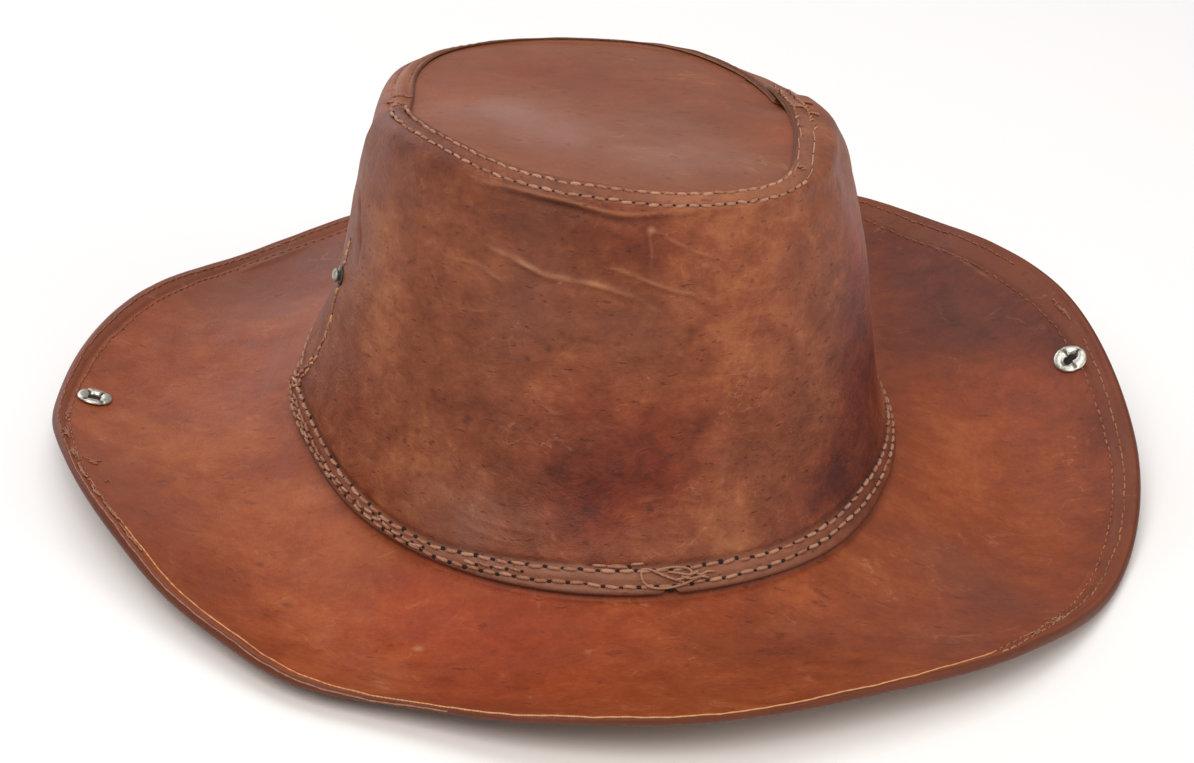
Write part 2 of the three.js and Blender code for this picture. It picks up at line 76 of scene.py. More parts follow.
# Bottom edge of the crown, round the hat, and the plane of its flat top
BASE_HEIGHT = 18.8
BASE_RISE_TO_BACK = 4.9
BASE_RISE_TO_RIGHT = -0.3
BASE_SADDLE = -1.7
BASE_TWIST = -1.8
TOP_HEIGHT = 120.9
TOP_SLOPE_TO_RIGHT = -0.002
TOP_SLOPE_TO_BACK = -0.090
TOP_TWIST = 0.00050
TOP_SADDLE = 0.00022
CROWN_HEIGHT = TOP_HEIGHT - BASE_HEIGHT

# Outer face of the crown, from the bottom edge up over the shoulder to the edge turned in on top
CROWN_COLUMNS = ("climb", "left", "right", "front", "back", "power", "seam_left", "seam_right")
CROWN = np.array([
    (0.000, 99.1, 96.2, 115.8, 115.6, 2.00, 183, 19),
    (0.060, 97.2, 93.0, 111.0, 111.0, 2.00, 187, 19),
    (0.180, 92.2, 88.6, 102.0, 102.0, 2.04, 191, 19),
    (0.320, 88.1, 85.0, 95.0, 95.0, 2.08, 194, 19),
    (0.550, 84.4, 80.6, 87.5, 87.5, 2.13, 197, 19),
    (0.780, 79.5, 74.4, 82.5, 82.5, 2.18, 198, 20),
    (0.910, 77.6, 69.6, 79.6, 80.0, 2.22, 199, 21),
    (0.965, 75.6, 65.6, 77.4, 78.4, 2.25, 199, 22),
    (0.988, 72.2, 60.4, 74.4, 75.6, 2.27, 199, 22),
    (1.000, 66.2, 54.2, 71.2, 72.4, 2.27, 199, 22),
])
CREASE_ROW = 1
FLARE_ROW = 2
WALL_TOP_ROW = 6
SHOULDER_ROW = 8

# How much further out than the ovals above, at every 22.5 degrees from +X: the edge on top, the shoulder
# and the bottom edge. droop is how far the shoulder hangs below them.
EDGE_COLUMNS = ("rim", "shoulder", "droop", "foot")
EDGES = np.array([
    (-2.6, 0, 0.5, 0.8), (-3.6, -1, 1.6, 0.4), (-0.7, -0.5, 2.2, 0), (3.1, 1.5, 2.2, 0),
    (4.4, 2.5, 2.2, 0), (4.6, 2.5, 2.2, 0), (3.6, 1.5, 2.2, 0), (1.4, 0, 1.2, 0), (-0.8, -0.3, 0.8, 0.2),
    (0.6, 0.5, 0, -2.9), (-1.7, -0.5, 0, -1.9), (1.2, 0.3, 0, -1.5), (1.9, 0.8, -0.2, -0.9),
    (4.2, 2.2, -0.5, 0.6), (6, 3, -0.4, 2.5), (-1, 0.2, 0, 0.5),
])

# Panels of the crown: rough length round the hat, and in degrees how far each reaches past a seam, and where
# a layer under the seams comes up again, to the front and to the back of them
PANEL_LENGTH = 300
HALF_LAP = 4
UNDERLAP_FRONT = (5, 18)
UNDERLAP_BACK = (10, 60)

# Angles at which the pared edge of the back panel is worn pale
PARED_SPOTS = (68, 30)

# Small bite out of the front panel's bottom edge: angle and width in degrees, and depth as a path
NOTCH_ANGLE = 282.8
NOTCH_WIDTH = 1.1
NOTCH_DEPTH = 0.022

# How far the tip reaches under the turned-in tops, beside the distance of its rim
TIP_REACH = 1.08

# Brim, at every 22.5 degrees from +X: reach of the edge, its height, and the dip half way out
BRIM_COLUMNS = ("reach", "height", "sag")
BRIM = np.array([
    (176, 16, 9), (173.1, 35.5, 7), (172.1, 33.4, 6), (175.3, 26.4, 5), (179.3, 19.5, 5), (176.6, 7.6, 5),
    (172.3, 2.3, 8.4), (170.7, 9.2, 6), (171.5, 9.6, 5), (172.1, 17.9, 6), (173.8, 10.5, 8.4),
    (176.5, 7.6, 9.2), (177, 15.2, 6), (174.2, 15.6, 6), (174.3, 11.6, 5.5), (175.2, 3.2, 8),
])
KINK_ANGLE = 46
BRIM_LEATHER = 2.0
HEM_WIDTH = 10.5
HEM_THICKNESS = 3.4
MARGIN = 7.5
BEND_DROP = 1.5
BEND_RADIUS = 2.0

# Snap eyelets through the brim: angle in degrees and share of the way out
SNAPS = {"snap_left": (182.5, 0.853), "snap_right": (13.0, 0.868)}

# Path of the studs on the side seams
STUD_PATH = 0.45

# Radius of the dark disc of painted shade in an eyelet's hole, and half thickness of the loops and of the
# thread ends
SNAP_HOLE = 2.9
LOOP_THICKNESS = 0.36
CROWN_END_THICKNESS = 0.26
BRIM_END_THICKNESS = 0.20

# Radii at which mm along the crown's top and along the brim's edge turn into an angle
CROWN_RADIUS = 75
BRIM_RADIUS = 172

# Rows of stitches on the flange at the crown's foot: angle and path
FLANGE_ROWS = {
    "low": [
        (0, 0.023), (160, 0.02), (183, 0.01), (200, 0.013), (220, 0.017), (230, 0.014), (241, 0.01),
        (249, 0.013), (256, 0.018), (265, 0.023), (278, 0.018), (290, 0.018), (300, 0.021), (310, 0.029),
        (322, 0.033), (335, 0.03), (350, 0.026), (360, 0.023),
    ],
    "high": [
        (0, 0.055), (20, 0.048), (160, 0.048), (180, 0.055), (192, 0.07), (200, 0.069), (210, 0.057),
        (220, 0.045), (230, 0.034), (241, 0.03), (248, 0.039), (256, 0.045), (266, 0.052), (290, 0.05),
        (300, 0.048), (314, 0.054), (330, 0.06), (340, 0.056), (352, 0.06), (360, 0.055),
    ],
}

# Stitches sewn again on the flange: points as angle and path
FLANGE_REPAIRS = [
    [(188, 0.04), (200, 0.04), (210, 0.034), (220, 0.03), (230, 0.024), (238, 0.019)],
    [(185, 0.026), (192, 0.028), (200, 0.026)],
    [(246, 0.024), (252, 0.028), (257, 0.031)],
    [(269, 0.062), (273, 0.064), (279, 0.061)],
    [(271, 0.057), (276, 0.057)],
]

# Rows of stitches on the turned-in top in mm from its edge, and on the side seams: degrees from the seam
# and the path at which the row ends
TOP_ROWS = (1.6, 6.3)
SEAM_ROWS = ((0.0, 0.56), (-2.0, 0.17))

# Rows of stitches of the brim's hem, in mm in from the edge. Less than 0 is over the rolled edge.
HEM_ROWS = {
    "outer": [
        (0, 3.6), (30, 2.6), (60, 2.2), (130, 2), (160, 1.2), (175, 0.4), (190, 0), (200, -0.5),
        (215, -1.4), (250, -1.9), (305, -1.8), (315, -0.2), (322, 2.2), (330, 3.2), (344, 3), (360, 3.6),
    ],
    "inner": [
        (0, 7.6), (11, 7.8), (20, 9.5), (28, 10.6), (45, 10.4), (60, 8.5), (90, 7.4), (125, 7.4),
        (137, 5.6), (150, 7), (160, 6.4), (172, 5), (184, 3.8), (193, 3.3), (201, 2.7), (212, 1.9),
        (240, 1.2), (247, 0.6), (253, -0.5), (260, -1.1), (300, -1.1), (308, 0.2), (315, 2), (324, 5),
        (332, 6.5), (341, 7), (360, 7.6),
    ],
}

# Kinds of stitches on the crown: pitch and half thickness in mm, share of the pitch that shows, how far they
# stray and how high they lie in mm, size of the dark discs of painted shade in their holes beside the
# thread, and span of their shades
STITCHES = {
    "flange_front": (5.2, 0.60, 0.70, 0.16, 0.15, 1.45, (0.35, 1)),
    "flange_back": (5.0, 0.46, 0.76, 0.12, 0.15, 0.95, (0.2, 0.8)),
    "repair": (4.4, 0.48, 0.72, 0.30, 0.30, 1.20, (0.3, 0.9)),
    "top_front": (3.8, 0.48, 0.72, 0.14, 0.15, 1.10, (0.35, 1)),
    "top_loose": (9.0, 0.26, 0.96, 0.30, 0.15, 1.10, (0.4, 0.9)),
    "top_right": (3.4, 0.32, 0.62, 0.40, 0.15, 1.10, (0.3, 1.1)),
    "top_back": (4.2, 0.30, 0.76, 0.12, 0.00, 0.95, (0, 0.3)),
    "seam": (3.3, 0.46, 0.62, 0.45, 0.15, 1.30, (0.4, 1.5)),
}

# Stitches of the turned-in top that show from the front: kind, from and to in degrees
TOP_STITCHES = [("top_front", 196.5, 322), ("top_loose", 322, 352), ("top_right", 352, 384)]

# Stitches of the hem: row, from and to in degrees, pitch, half thickness, share that shows and shades
HEM_STITCHES = [
    ("outer", 312, 375, 3.5, 0.27, 0.80, (0.1, 0.7)),
    ("outer", 30, 160, 3.7, 0.27, 0.85, (0.0, 0.4)),
    ("outer", 160, 200, 4.0, 0.25, 0.93, (0.0, 0.3)),
    ("inner", 310, 372, 3.4, 0.26, 0.55, (0.1, 0.7)),
    ("inner", 14, 172, 3.6, 0.24, 0.60, (0.0, 0.25)),
    ("inner", 172, 214, 3.6, 0.25, 0.75, (0.0, 0.4)),
]

# Where the hem's rows are one long thread instead of stitches: row, from and to in degrees, half thickness
# and shade
HEM_LONG_THREADS = [("outer", 199, 256, 0.22, 0.45), ("inner", 212, 312, 0.22, 1.45)]

# How thick the hem is beside its common thickness: angle and share
HEM_THIN = [(0, 1), (225, 1), (240, 0.82), (250, 0.72), (260, 0.74), (275, 0.88), (290, 1), (360, 1)]

# Loose loops of thread on the flange: angle, path and lift from 0 on the leather to 1
FLANGE_LOOPS = [
    [(278, 0.056, 0), (277.8, 0.04, 0.6), (278.2, 0.026, 0.8), (279.2, 0.017, 0.7), (281, 0.013, 0.7),
     (283, 0.014, 0.8), (285.2, 0.019, 1), (287, 0.026, 0.8), (289.2, 0.032, 0.2)],
    [(278, 0.055, 0.1), (279.5, 0.053, 0.5), (280.8, 0.045, 0.6), (282.2, 0.036, 0.9),
     (283.8, 0.028, 0.7), (285.2, 0.022, 0.4)],
    [(280.5, 0.048, 0), (282, 0.054, 0.5), (284, 0.055, 0.7), (286, 0.05, 0.8), (286.6, 0.04, 0.9),
     (285.2, 0.031, 1.3), (283.6, 0.028, 1.2)],
    [(285.4, 0.03, 1.2), (287.2, 0.038, 0.9), (288.2, 0.034, 0.6), (289.5, 0.038, 0.5),
     (290.8, 0.036, 0.2)],
    [(284.6, 0.034, 1.5), (286.4, 0.028, 1.2), (288, 0.03, 0.8), (289.6, 0.026, 0.4)],
    [(282.6, 0.046, 0.4), (284.2, 0.042, 1.2), (286, 0.036, 1.6), (287.8, 0.042, 1)],
]

# Tangles of thread on the crown: angle, path, spread in mm, and how many threads
CROWN_TANGLES = [
    (182, 0.975, 1.9, 4), (190, 0.958, 2, 4), (186, 0.94, 1.6, 3), (196, 0.98, 1.2, 2),
    (13, 0.952, 1.8, 3), (8, 0.972, 1.6, 3), (4, 0.945, 1.6, 3), (325, 0.966, 1.4, 3),
    (184, 0.012, 1.5, 4), (185.5, 0.045, 1.3, 3), (188, 0.075, 1.2, 3),
]

# Frayed threads of the brim: angle, mm from the edge, how far they run along and across in mm, and how many
BRIM_FRAYS = [
    (189, 3, 6, 0.7, 2), (194, 1.6, 7, 0.9, 4), (199, 1.8, 6, 1, 4), (200, 6.6, 2.2, 2, 3),
    (203, 1.2, 6, 0.8, 4), (207, 1.6, 7, 0.8, 4), (211, 1.2, 7, 0.8, 4), (216, 0.4, 8, 0.6, 3),
    (324, 3.6, 5, 0.9, 3), (319, 2.4, 5, 0.9, 3), (20, 3.6, 7, 0.8, 3), (204, 8.6, 2, 1.2, 1),
]

# Shallow dents and swells of the crown: angle, path, radius in mm and height in mm
CROWN_DENTS = [
    (197, 0.78, 20, 2), (349, 0.83, 17, -2.3), (247, 0.5, 24, -0.9), (277, 0.57, 15, -0.8),
    (235, 0.33, 16, -0.6), (302, 0.66, 22, 0.8), (266, 0.43, 15, 0.5), (317, 0.18, 18, -0.9),
    (216, 0.6, 20, 0.7), (256, 0.87, 16, -0.7), (290, 0.36, 18, 0.4),
]

# How much thinner the back panel is pared at its edge on top: angle and mm
BACK_PARING = [(0, 0.4), (20, 0.2), (60, 0.2), (78, 1.1), (180, 1.1), (200, 0.6), (360, 0.4)]

# Fold that hangs under the outer row of stitches on top: angle, path and height in mm, which also sets the
# painted highlight on its top and the painted shade under it
LIP = np.array([
    (230, 0.902, 0), (238, 0.893, 0.3), (247, 0.892, 0.75), (255, 0.89, 0.95), (264, 0.882, 0.95),
    (271, 0.877, 0.8), (277, 0.878, 0.6), (283, 0.886, 0.35), (290, 0.896, 0.25), (298, 0.9, 0.15),
    (312, 0.905, 0),
])

# Wrinkles of the crown: points as angle and path, then width and height in mm, and how pale the ridge is
CROWN_WRINKLES = [
    ([(239, 0.748), (243, 0.738), (247, 0.729), (252, 0.714), (255, 0.705), (259, 0.702), (263, 0.702),
      (268.5, 0.694), (274, 0.677), (277, 0.656), (280.5, 0.634)], 1.1, 0.85, 1),
    ([(266, 0.745), (271, 0.739), (276, 0.722), (279.8, 0.707), (284, 0.694), (286.5, 0.69),
      (288, 0.672)], 0.8, 0.6, 0.8),
    ([(277.8, 0.845), (280.5, 0.832), (283.2, 0.815), (286.8, 0.797), (290, 0.784),
      (292, 0.776)], 0.8, 0.55, 0.6),
    ([(277.4, 0.835), (277.6, 0.794), (277.5, 0.767), (277.1, 0.73)], 0.6, 0.4, 0.5),
    ([(276.5, 0.83), (276.6, 0.79), (276.4, 0.745)], 0.6, -0.35, -0.5),
    ([(287, 0.759), (290, 0.752), (293, 0.742), (294.8, 0.707)], 0.6, 0.35, 0.4),
    ([(295.8, 0.702), (301, 0.692), (309, 0.684)], 0.7, 0.25, 0.35),
    ([(227, 0.668), (229, 0.652), (230.2, 0.629), (233, 0.589), (235, 0.564), (237.2, 0.551),
      (239.5, 0.519)], 0.6, 0.4, 0.5),
    ([(230, 0.699), (232.2, 0.683), (235, 0.687), (239, 0.692), (241.5, 0.687), (245, 0.67),
      (249.3, 0.668)], 0.8, 0.45, 0.45),
    ([(226.5, 0.596), (230, 0.581)], 0.5, 0.3, 0.4),
    ([(224, 0.7), (225.5, 0.66), (226.4, 0.61)], 0.6, 0.3, 0.3),
    ([(236.7, 0.561), (241, 0.579), (245, 0.591), (249, 0.6)], 0.5, 0.25, 0.35),
    ([(253.3, 0.446), (256, 0.412), (258.5, 0.388), (262.5, 0.381)], 0.6, 0.35, 0.45),
    ([(261, 0.484), (262.5, 0.456), (262.8, 0.431)], 0.5, 0.3, 0.4),
    ([(255, 0.462), (258, 0.452), (260, 0.432)], 0.5, 0.25, 0.3),
    ([(275.3, 0.19), (281, 0.206), (286.8, 0.195), (291, 0.168)], 0.8, 0.35, 0.3),
    ([(277, 0.158), (282, 0.173), (286.8, 0.16), (289.8, 0.138)], 0.8, 0.35, 0.3),
    ([(272, 0.15), (277, 0.122), (283, 0.128), (289, 0.112)], 0.8, 0.3, 0.25),
    ([(295, 0.346), (293.2, 0.256), (291.8, 0.188), (289.8, 0.103)], 2.2, 0.4, 0.3),
    ([(240, 0.14), (246, 0.125), (253, 0.118), (259, 0.121)], 0.8, 0.3, 0.35),
    ([(243, 0.108), (250, 0.092), (257, 0.09)], 0.8, 0.3, 0.35),
    ([(199, 0.72), (202, 0.65), (204.5, 0.585), (205.5, 0.53)], 1, -0.8, -0.8),
    ([(200.5, 0.64), (202, 0.59), (203, 0.54)], 1, 0.5, 0.3),
]

# Lighter and darker areas of the crown, some of them painted light: angle, path, radius in mm, tone (+ is
# lighter), and violet with painted sheen or, below 0, rust
CROWN_TONES = [
    (216, 0.7, 15, 0.3, -0.1), (216, 0.5, 15, 0.35, -0.1), (215, 0.35, 12, 0.15, 0),
    # Grey-violet down the left side at 195 to 205 degrees: a painted sheen
    (204, 0.8, 12, 0.05, 0.6), (205, 0.57, 11, 0.15, 0.7), (195, 0.51, 8, 0.05, 0.4),
    (208, 0.3, 8, -0.1, 0.3), (213, 0.87, 12, -0.2, 0.1), (200, 0.9, 10, -0.45, 0.2),
    # Dark band at 253 to 275 degrees below the top fold: partly the leather's own tone, partly painted shade
    # under the fold
    (225, 0.87, 12, -0.25, 0), (253, 0.8, 13, -0.5, 0.25), (275, 0.8, 14, -0.6, -0.3),
    (264, 0.84, 9, -0.25, -0.2), (247, 0.71, 8, 0.4, 0), (262, 0.68, 8, 0.3, -0.1),
    (275, 0.66, 6, 0.2, -0.1), (237, 0.68, 8, 0.2, 0), (302, 0.78, 22, 0.45, -0.2),
    # Paler shoulder at 292 to 300 degrees: partly the leather's own tone, partly a painted sheen
    (292, 0.92, 8, 0.6, 0), (300, 0.92, 8, 0.5, 0), (315, 0.9, 9, 0.25, 0), (253, 0.59, 15, -0.25, 0.45),
    (275, 0.62, 12, -0.4, 0.4), (262, 0.44, 13, 0.4, -0.3), (261, 0.29, 16, -0.5, -0.2),
    # Grey-violet at 246 degrees near the foot: a painted sheen
    (277, 0.32, 14, -0.5, -0.5), (236, 0.21, 11, 0.15, 0), (246, 0.09, 11, 0.45, 0.8),
    (226, 0.12, 9, 0.3, -0.1), (212, 0.22, 12, -0.15, -0.3), (236, 0.09, 8, 0.3, 0.3),
    (301, 0.58, 16, 0.25, -0.2), (293, 0.23, 10, 0.15, -0.1), (333, 0.42, 13, -0.5, -0.8),
    (331, 0.25, 10, -0.7, -0.8), (316, 0.11, 10, -0.85, -0.5), (306, 0.1, 8, -0.55, -0.3),
    (323, 0.16, 9, -0.9, -0.6), (288, 0.43, 12, -0.05, -0.2), (297, 0.11, 8, 0.25, 0),
    (278, 0.1, 9, 0.2, 0), (338, 0.53, 11, -0.3, -0.9), (338, 0.75, 11, 0, -0.5),
    (268, 0.18, 11, -0.2, -0.8), (281, 0.25, 11, -0.3, -0.4), (350, 0.3, 12, -0.6, -0.6),
    (340, 0.28, 10, -0.35, -0.6), (327, 0.08, 9, -0.8, -0.4), (338, 0.12, 9, -0.8, -0.4),
    (347, 0.18, 10, -0.6, -0.5), (346, 0.6, 11, 0.1, -0.9), (344, 0.74, 10, 0.15, -0.7),
    (347, 0.45, 10, 0, -0.8), (352, 0.88, 9, 0.3, 0), (215, 0.955, 8, -0.5, 0), (230, 0.955, 9, -0.6, 0),
    (246, 0.955, 9, -0.6, 0), (262, 0.955, 8, -0.35, 0), (150, 0.97, 9, 0.6, 0), (166, 0.96, 8, 0.5, 0),
    (176, 0.93, 7, 0.4, 0), (240, 0.41, 12, -0.2, 0), (250, 0.3, 10, -0.25, 0),
    (300, 0.4, 11, -0.3, -0.1), (309, 0.3, 10, -0.25, -0.1), (322, 0.03, 9, -0.45, -0.1),
    (335, 0.04, 9, -0.6, -0.2), (348, 0.05, 9, -0.6, -0.2), (60, 0.5, 30, -0.3, 0.3),
    (120, 0.6, 30, 0.25, 0), (100, 0.25, 24, -0.2, 0.1),
]

# How far the turned-in top and the flange take the paler colour of a hem: angle, top and flange
CROWN_HEM = [
    (0, 0.5, 0.1), (30, 0.6, 0.3), (90, 0.4, 0.4), (160, 0.6, 0.4), (190, 0.45, 0.3), (205, 0.05, 0.3),
    (235, 0.05, 0.75), (255, 0.3, 0.95), (285, 0.6, 0.95), (305, 0.75, 0.7), (325, 0.7, 0.25),
    (360, 0.5, 0.1),
]

# Pits and specks of the crown: angle, path, radius in mm, and how pale or dark
CROWN_MARKS = [
    (257.3, 0.529, 1, -0.8), (253, 0.499, 0.8, -0.7), (242, 0.323, 1.3, -0.8), (231.5, 0.253, 0.9, -0.7),
    (229.2, 0.221, 1, -0.7), (256.2, 0.353, 0.7, -0.8), (252, 0.333, 0.8, -0.8),
    (247.8, 0.301, 0.8, -0.6), (234.2, 0.165, 0.8, -0.8), (267, 0.178, 0.9, -0.9),
    (264, 0.155, 0.8, -0.7), (267.8, 0.11, 0.9, -0.7), (217.5, 0.09, 1, -0.6), (279, 0.183, 1.6, -0.7),
    (281, 0.172, 1.2, -0.7), (288.2, 0.356, 1.3, -0.6), (305, 0.241, 0.8, -0.7),
    (313.8, 0.627, 0.8, -0.6), (299.5, 0.712, 0.7, -0.8), (277.8, 0.842, 1.1, 0.9),
    (296, 0.83, 0.7, -0.6), (258, 0.69, 0.6, 0.7), (286, 0.6, 0.8, -0.6), (271, 0.56, 0.9, -0.7),
]

# Lighter and darker areas of the tip: x and y in mm, radius in mm, tone, and violet with painted sheen or,
# below 0, rust
TIP_TONES = [
    # Grey-violet line from (-40, -9) to (8, -42): a painted sheen
    (-50, 12, 13, 0.25, -0.4), (-40, -9, 14, 0.35, 0.9), (-22, -28, 14, 0.25, 0.8),
    (8, -42, 13, 0.15, 0.6), (-27, 39, 16, -0.2, -0.5), (15, -9, 14, -0.25, 0.4),
    (31, -2, 11, -0.25, -0.3), (53, -16, 14, 0.45, -0.5), (5, 22, 18, 0, -0.3), (44, 26, 14, -0.15, -0.2),
    (-50, -2, 9, 0.25, -0.4), (30, -36, 12, 0, 0.4),
]

# Lighter and darker areas of the brim: angle, share out, radius in mm, tone, and violet with painted
# reflection or, below 0, rust
BRIM_TONES = [
    (192, 0.35, 24, 0.55, -0.1), (212, 0.37, 22, 0.45, -0.2), (234, 0.47, 22, 0.25, -0.3),
    (249, 0.31, 20, 0.2, -0.7), (242, 0.16, 12, 0.15, -0.7), (211, 0.7, 18, -0.05, 0.35),
    # Grey-violet at 110 to 145 degrees on the back left: a painted reflection of the lights
    (200, 0.8, 14, 0, 0.3), (222, 0.95, 12, 0, 0.1), (145, 0.66, 26, 0.25, 0.7),
    (130, 0.8, 24, 0.15, 0.9), (110, 0.5, 30, -0.2, 0.5), (265, 0.39, 20, 0.05, -0.4),
    (258, 0.7, 16, 0, -0.3), (284, 0.27, 16, -0.15, 0), (270, 0.77, 16, 0, -0.2),
    (300, 0.26, 14, -0.15, 0.2), (332, 0.35, 12, -0.05, 0.4), (326, 0.64, 16, -0.3, 0.5),
    (312, 0.75, 14, -0.1, 0.35), (10, 0.55, 20, 0, -0.2), (352, 0.25, 12, 0.3, -0.1),
    (2, 0.31, 12, 0.3, 0), (26, 0.6, 22, -1.2, 0.2), (45, 0.8, 22, -0.95, 0), (15, 0.92, 14, -0.95, 0),
    (2, 0.93, 14, -0.95, 0), (23, 0.85, 12, -0.5, 0), (62, 0.85, 18, -0.8, 0), (35, 0.85, 15, -0.5, 0),
    (222, 0.1, 10, 0.5, -0.2), (304, 0.12, 10, 0.5, -0.3), (258, 0.12, 12, 0.1, -0.7),
    (274, 0.12, 12, 0.05, -0.5), (240, 0.9, 10, 0.2, -0.2), (290, 0.12, 10, 0.2, -0.4),
    (350, 0.93, 14, -0.9, 0), (338, 0.93, 12, -0.4, 0.1), (70, 0.45, 22, 0.1, 0), (210, 0.12, 10, 0.6, 0),
]

# Small marks of the brim: angle, share out, radius in mm, and how pale or dark
BRIM_MARKS = [
    (246.5, 0.408, 1.3, 1.1), (229.2, 0.538, 1.1, -0.9), (221, 0.482, 1, -0.8), (224, 0.6, 0.8, -0.7),
    (238, 0.66, 0.9, -0.6), (256, 0.35, 0.9, -0.7), (262, 0.6, 0.8, -0.6), (281, 0.45, 0.9, -0.6),
    (205, 0.33, 0.8, -0.5), (213, 0.66, 0.9, -0.6), (299, 0.4, 0.8, -0.5), (150, 0.896, 1, 0.5),
    (270, 0.55, 1, -0.6), (277, 0.7, 1.2, -0.5), (292, 0.62, 0.8, -0.5), (243, 0.28, 0.8, -0.6),
]

# Scuffs of the brim: points as angle and share out, width in mm, and how pale or dark
BRIM_SCUFFS = [
    ([(311, 0.6), (313, 0.7), (315, 0.76), (317, 0.8)], 0.8, 0.6),
    ([(308, 0.56), (311, 0.65), (312, 0.7)], 0.6, 0.5),
    ([(318, 0.82), (321, 0.84)], 0.6, 0.5),
    ([(334, 0.56), (336, 0.6), (339, 0.62)], 0.7, 0.4),
    ([(150.4, 0.88), (149.2, 0.905)], 0.8, -0.8),
    ([(54, 0.885), (45, 0.86), (38, 0.85), (30, 0.835), (24, 0.848), (18, 0.875)], 0.9, 0.35),
    ([(32, 0.6), (29, 0.56), (27, 0.545)], 1, 0.35),
    ([(14, 0.42), (10, 0.4), (7, 0.41)], 0.7, 0.3),
]

# Fine waves of the brim's edge: angle, width in degrees, and how far out and up in mm
EDGE_WAVES = [
    (253, 7, -2.2, 0.4), (240, 6, 2.2, 0), (298, 12, -2.4, 0), (277, 8, 0.8, 0), (216, 9, -1.4, 0),
    (190, 6, 0.8, 0),
]

# Closed profiles of the eyelets and of the studs: radius and height over the leather
EYELET_PROFILE = [
    (2.2, -4.4), (4.6, -4.4), (4.7, -4), (4.6, -3.8), (3.1, -3.8), (3.1, 0.2), (5, 0.2), (5.4, 0.32),
    (5.6, 0.55), (5.5, 0.85), (5.1, 1.1), (4.5, 1.28), (3.8, 1.32), (3.2, 1.22), (2.7, 0.98), (2.35, 0.6),
    (2.2, 0),
]
STUD_PROFILE = [
    (0.01, -4.9), (2.6, -4.9), (3.3, -4.6), (3.5, -4.3), (1.3, -4.2), (1.3, 0.1), (2.9, 0.1), (3.1, 0.35),
    (2.9, 0.7), (1.9, 0.8), (1.5, 0.9), (1.5, 1.1), (1.9, 1.3), (2.1, 1.7), (2, 2.2), (1.5, 2.6),
    (0.8, 2.8), (0.01, 2.85),
]

# Slits of each eyelet: angle and how far each one opens
SLITS = {
    "snap_left": [(52, 1.0), (128, 1.0), (232, 1.0), (308, 1.0)],
    "snap_right": [(40, 0.9), (112, 0.6), (285, 0.5), (225, 0.3)],
}

# Hole of each eyelet: the angle of its long way, how long it is and how far it opens at the slits
EYELET_HOLES = {"snap_left": (0, -0.1, 0.75), "snap_right": (38, 1.0, 0.10)}

# Lights, in metres: place, aim, size, power and colour
LIGHTS = {
    "key_softbox": ((-0.5, -1.2, 1.6), (0, 0, 0.05), (1.4, 1.1), 24, "#fffaf4"),
    "top_softbox": ((-0.1, 0.3, 1.6), (0, 0, 0.05), (1.2, 1.0), 8, "#ffffff"),
    "back_softbox": ((-1.1, 1.4, 0.8), (0, 0, 0.08), (1.4, 0.9), 9, "#eef2ff"),
    "right_fill": ((1.5, -0.7, 0.9), (0, 0, 0.06), (1.0, 0.9), 8, "#fff4e8"),
}

rng = np.random.default_rng(7)


def ease(low, high, value):
    """Smooth step from 0 at low to 1 at high."""
    share = np.clip((value - low) / (high - low), 0, 1)
    return share * share * (3 - 2 * share)


def unit(vectors):
    return vectors / np.linalg.norm(vectors, axis=-1, keepdims=True)


def curve_through(keys, values, at):
    """Cubic curve through values at uneven keys."""
    steps = np.diff(keys)
    slopes = np.diff(values) / steps
    tangents = np.empty(len(keys))
    tangents[0] = slopes[0]
    tangents[-1] = slopes[-1]
    tangents[1:-1] = (slopes[:-1] * steps[1:] + slopes[1:] * steps[:-1]) / (steps[1:] + steps[:-1])
    row = np.clip(np.searchsorted(keys, at) - 1, 0, len(keys) - 2)
    span = steps[row]
    t = (at - keys[row]) / span
    return ((2 * t**3 - 3 * t**2 + 1) * values[row] + (t**3 - 2 * t**2 + t) * span * tangents[row]
            + (3 * t**2 - 2 * t**3) * values[row + 1] + (t**3 - t**2) * span * tangents[row + 1])


def crown_paths():
    """Length of the crown's section, and the share of it at which each row of the table lies."""
    inward = np.diff(CROWN[:, 1] + CROWN[:, 2]) / 2
    up = np.diff(CROWN[:, 0]) * CROWN_HEIGHT
    lengths = np.concatenate([[0], np.cumsum(np.hypot(inward, up))])
    return lengths[-1], lengths / lengths[-1]


CROWN_LENGTH, CROWN_SHARES = crown_paths()
CREASE = CROWN_SHARES[CREASE_ROW]
FLARE = CROWN_SHARES[FLARE_ROW]
WALL_TOP = CROWN_SHARES[WALL_TOP_ROW]
SHOULDER = CROWN_SHARES[SHOULDER_ROW]


def crown_value(column, path):
    return curve_through(CROWN_SHARES, CROWN[:, CROWN_COLUMNS.index(column)], path)


def value_round(values, angle):
    """Smooth closed curve through values that are evenly spaced round the hat."""
    turn = angle / TAU % 1 * len(values)
    row = np.floor(turn).astype(int)
    t = turn - row
    a, b, c, d = (values[(row + step) % len(values)] for step in (-1, 0, 1, 2))
    return b + 0.5 * t * (c - a + t * (2 * a - 5 * b + 4 * c - d + t * (3 * (b - c) + d - a)))


def brim_value(column, angle):
    return value_round(BRIM[:, BRIM_COLUMNS.index(column)], angle)


def edge_value(column, angle):
    return value_round(EDGES[:, EDGE_COLUMNS.index(column)], angle)


def base_height(angle):
    return (BASE_HEIGHT + BASE_RISE_TO_BACK * np.sin(angle) + BASE_RISE_TO_RIGHT * np.cos(angle)
            + BASE_SADDLE * np.cos(2 * angle) + BASE_TWIST * np.sin(2 * angle))


def top_height(x, y):
    return (TOP_HEIGHT + TOP_SLOPE_TO_RIGHT * x + TOP_SLOPE_TO_BACK * y
            + TOP_TWIST * x * y + TOP_SADDLE * (x * x - y * y))


